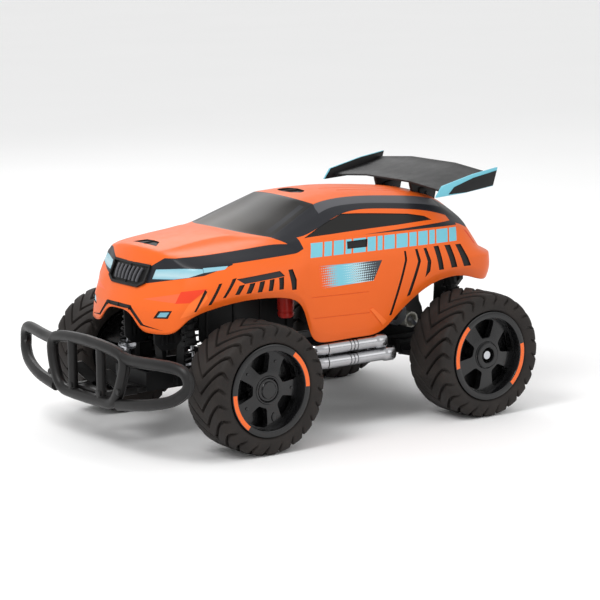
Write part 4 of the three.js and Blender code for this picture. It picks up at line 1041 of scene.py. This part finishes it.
def addPipes(word, hand):
    bm = bmesh.new()
    radius = pipes["radius"]
    for z, back in pipes["rows"]:
        length = pipes["front"] - back
        profile = [(0, 0), (radius, 0), (radius, pipes["ringStart"])]
        for i in range(pipes["rings"]):
            at = pipes["ringStart"] + i * pipes["ringPitch"]
            profile += [(r, at + reach) for r, reach in pipes["ring"]]
        profile += [(r, length - reach) for r, reach in pipes["tip"]]
        turned(bm, profile, (pipes["front"], pipes["y"] * hand, z), (-1, 0, 0), 32)
        elbow = smoothPath([(x, y * hand, z) for x, y in pipes["elbow"]])
        sweep(bm, elbow, roundSection(radius, 20))
    for x in pipes["brackets"]:
        for (near, far), heights in pipes["plates"]:
            block(bm, (x - pipes["bracketReach"], x + pipes["bracketReach"]),
                  sorted((hand * near, hand * far)), heights, 0.8)
    for face in bm.faces:
        if abs(face.calc_center_median().y) < pipes["chromeFrom"]:
            face.material_index = 1
    addPiece(f"pipes_{word}", bm, "chassis", ["chrome", "moulded"],
             [f"side_pipes_{word}"], sharp=30)


canister = {
    "place": (50.5, 58, 106.5),
    "profile": [(0, 0), (5.4, 0), (7, 1), (8, 2.6), (8, 5), (7.4, 5.6), (7.4, 7.4), (8, 8), (8, 24),
                (7.4, 24.6), (7.4, 26.2), (8, 26.8), (8, 29.6), (7, 31.6), (4.2, 32.4), (4.2, 33), (0, 33)],
}


def addCanister(word, hand):
    bm = bmesh.new()
    turned(bm, canister["profile"], flip([canister["place"]], hand)[0], (0, 0, 1), 28)
    addPiece(f"canister_{word}", bm, "chassis", ["canister"],
             [f"oil_canister_{word}"], sharp=30)


for hand, word in hands:
    addPipes(word, hand)
    addCanister(word, hand)
print("pipes and canisters")

grille = {
    "low": (193, 146.8), "high": (183.2, 166.4), "bow": 1.2, "halfWidth": 30, "lean": (0.9, 0, 0.4),
    # the frame: sideways, and share of the way up
    "frame": [(-21.5, 0.02), (21.5, 0.02), (30, 0.24), (30.2, 0.97), (-30.2, 0.97), (-30, 0.24)],
    "frameSection": [(-1.1, -1.1), (1.1, -1.1), (1.3, 0), (1.1, 1), (-1.1, 1), (-1.3, 0)],
    "bars": 7, "spread": 36, "barSteps": (0, 0.15, 0.4, 0.7, 0.9, 1),
    "barSection": [(-1.25, -0.9), (1.25, -0.9), (1.25, 0.3), (0.7, 0.95), (-0.7, 0.95), (-1.25, 0.3)],
    "grey": (22, 149.6, 163.6),  # how far out, and from which height to which
}


def onGrille(y, share, lift):
    # a point on the raked grille face: share runs from its foot to its head, lift stands it proud
    (lowX, lowZ), (highX, highZ) = grille["low"], grille["high"]
    rake = Vector((highZ - lowZ, 0, lowX - highX)).normalized()
    bow = grille["bow"] * (y / grille["halfWidth"]) ** 2
    return Vector((lowX + (highX - lowX) * share - bow, y, lowZ + (highZ - lowZ) * share)) + rake * lift


def addGrille():
    bm = bmesh.new()
    corners = grille["frame"]
    path = []
    for (y0, s0), (y1, s1) in zip(corners, corners[1:] + corners[:1]):
        path += [onGrille(y0 + (y1 - y0) * t / 4, s0 + (s1 - s0) * t / 4, 0.5) for t in range(4)]
    sweep(bm, path, grille["frameSection"], closed=True, lean=grille["lean"])
    for i in range(grille["bars"]):
        y = (i / (grille["bars"] - 1) - 0.5) * grille["spread"]
        path = []
        for t in grille["barSteps"]:  # bowed bars that spread a little towards the top
            swell = math.sin(math.pi * (0.12 + 0.76 * t))
            path.append(onGrille(y * (1 + 0.12 * t), 0.2 + 0.62 * t, 0.1 + 1.3 * swell))
        sweep(bm, path, grille["barSection"], lean=grille["lean"])
    reach, low, high = grille["grey"]
    for face in bm.faces:
        spot = face.calc_center_median()
        if abs(spot.y) < reach and low < spot.z < high:
            face.material_index = 1
    addPiece("grille_bars", bm, "chassis", ["moulded", "railGrey"], ["grille"])


addGrille()
print("grille")

wing = {
    "front": -116, "back": -174, "frontZ": 219.5, "rise": 0.19, "half": 90, "kink": 35, "drop": 5, "bow": 1.6,
    "spans": [-90, -62, -36, -34, 0, 34, 36, 62, 90],
    # share of the way back, and how far the top stands above the chord there
    "top": [(0.0, 0.2), (0.06, 1.4), (0.3, 1.6), (0.6, 1.4), (0.94, 0.9), (1.0, 2.6)], "under": 1.4,
    "strutY": 28.5,
    "struts": [  # side outline, thickness, edge rounding: the leg, then the pad round its foot
        ([(-127, 196), (-150, 193), (-158, 224.6), (-156, 226), (-121, 219), (-122, 214)], 4, 0.7),
        ([(-131, 201), (-147, 200), (-150, 214), (-131, 211)], 8.4, 0.8),
    ],
    "screw": [(0, 0), (1.7, 0), (1.7, 0.9), (1.2, 1.3), (0, 1.3)], "screwPlace": (-139, 32.7, 206),
}


def wingPoint(share, y):
    x = wing["front"] + (wing["back"] - wing["front"]) * share
    bow = math.sin(math.pi * share) * -wing["bow"]
    drop = wing["drop"] * max(0, (abs(y) - wing["kink"]) / (wing["half"] - wing["kink"]))
    return Vector((x, y, wing["frontZ"] + (wing["front"] - x) * wing["rise"] + bow - drop))


def addWing():
    bm = bmesh.new()
    rows = []
    for y in wing["spans"]:
        chord = [(wingPoint(share, y), lift) for share, lift in wing["top"]]
        rows.append([p + Vector((0, 0, lift)) for p, lift in chord] +
                    [p - Vector((0, 0, wing["under"])) for p, _ in reversed(chord)])
    ends = loft(bm, rows, closed=True)
    for ring in (ends[0], ends[-1]):
        bmesh.ops.contextual_create(bm, geom=ring)
    for hand, _ in hands:
        for outline, wall, bevel in wing["struts"]:
            y = hand * (wing["strutY"] - wall / 2)
            slabOf(bm, [(x, y, z) for x, z in outline], (0, wall * hand, 0), bevel)
        turned(bm, wing["screw"], flip([wing["screwPlace"]], hand)[0], (0, hand, 0), 12)
    addPiece("wing_blade", bm, "chassis", ["moulded"], ["rear_wing"])


endPlate = {
    "outline": [(-104, 210), (-140, 211.6), (-175, 215.4), (-181, 233.4), (-150, 229), (-112, 220.6)],
    "y": 90.2, "wall": 2.6,
    "inset": [(-119, 212), (-142, 212.2), (-174.6, 216), (-179.4, 230.4), (-150, 225.6), (-126, 218.6)],
    "insetY": 92.6, "insetWall": 0.7, "blackPast": (92.85, -117),  # out from the middle, and back from here
}


def addEndPlate(word, hand):
    bm = bmesh.new()
    slabOf(bm, [(x, hand * endPlate["y"], z) for x, z in endPlate["outline"]],
           (0, hand * endPlate["wall"], 0), 0.5)
    for face in bm.faces:  # the inner side is black
        face.material_index = 0 if face.normal.y * hand > -0.5 else 1
    slabOf(bm, [(x, hand * endPlate["insetY"], z) for x, z in endPlate["inset"]],
           (0, hand * endPlate["insetWall"], 0), 0.25)
    out, back = endPlate["blackPast"]
    for face in bm.faces:
        spot = face.calc_center_median()
        if spot.y * hand > out and spot.x < back:
            face.material_index = 1
    addPiece(f"end_plate_{word}", bm, "chassis", ["skyBlue", "moulded"],
             [f"wing_end_plate_{word}"])


addWing()
for hand, word in hands:
    addEndPlate(word, hand)
print("wing")

# dark liners that close off the wheel arches under the shell
liners = {
    # front and rear end, sideways, foot, head
    "spans": [(28, 136, 37, 84, 150), (148, 178, 25, 84, 140), (-104, -50, 37, 84, 122)],
    "wall": 2, "corner": 8, "ribs": 4, "ribReach": 1, "ribDepth": 3.6, "ribInset": 6,
}


def addLiners():
    bm = bmesh.new()
    corner, reach, inset = liners["corner"], liners["ribReach"], liners["ribInset"]
    for hand, _ in hands:
        for low, high, side, foot, head in liners["spans"]:
            y = side * hand
            outline = [(low, foot + corner), (low + corner, foot), (high - corner, foot),
                       (high, foot + corner), (high, head), (low, head)]
            slabOf(bm, [(x, y, z) for x, z in outline], (0, liners["wall"] * hand, 0), 0.5)
            for step in range(liners["ribs"]):
                x = low + corner + (high - low - 2 * corner) * step / (liners["ribs"] - 1)
                depth = sorted((y, (side + liners["ribDepth"]) * hand))
                block(bm, (x - reach, x + reach), depth, (foot + inset, head - inset), 0.5)
    addPiece("arch_liners", bm, "chassis", ["moulded"])


addLiners()
print("arch liners")

springs = {  # top and foot of each shock as (sideways, height), and how far it shortens
    "front": {"x": 155, "top": (44, 128), "foot": (62, 66), "travel": 3.5},
    "rear": {"x": -151.5, "top": (52, 128), "foot": (68, 66), "travel": 4.1},
    "radius": 7.6, "wire": 0.9, "turns": 6, "steps": 14, "from": 15.5, "short": 12.2,
}


def addSpring(end, word, hand):
    spec = springs[end]
    top, foot = (Vector((spec["x"], spec[at][0] * hand, spec[at][1])) for at in ("top", "foot"))
    along = (foot - top).normalized()
    across = along.orthogonal().normalized()
    other = along.cross(across)
    first, last = springs["from"], (foot - top).length - springs["short"]
    path = []
    count = springs["turns"] * springs["steps"]
    for i in range(count + 1):
        angle = 2 * math.pi * i / springs["steps"]
        reach = first + (last - first) * i / count
        spoke = across * math.cos(angle) + other * math.sin(angle)
        path.append(top + along * reach + spoke * springs["radius"])
    bm = bmesh.new()
    sweep(bm, path, roundSection(springs["wire"], 6), lean=along)
    piece = addPiece(f"{end}_coil_{word}", bm, "chassis", ["moulded"],
                     [f"{end}_spring_{word}"])
    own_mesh(piece)


for end in ("front", "rear"):
    for hand, word in hands:
        addSpring(end, word, hand)
print("springs")

# finishes of the CAD nodes that stay, by words in their names; the others are black plastic
nodeLooks = {
    "power_switch": "steel", "servo_horn": "gear", "drive_motor": "steel", "motor_pinion": "steel",
    "diff_gear": "gear", "battery_pack": "wrap", "axle": "steel", "drive_shaft": "steel",
    "shock_rod": "steel",
}
for name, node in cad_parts.items():
    if node.hide_render:
        continue
    look = next((look for key, look in nodeLooks.items() if key in name), "moulded")
    node.data.materials.clear()
    node.data.materials.append(looks[look].material)

print("finished")
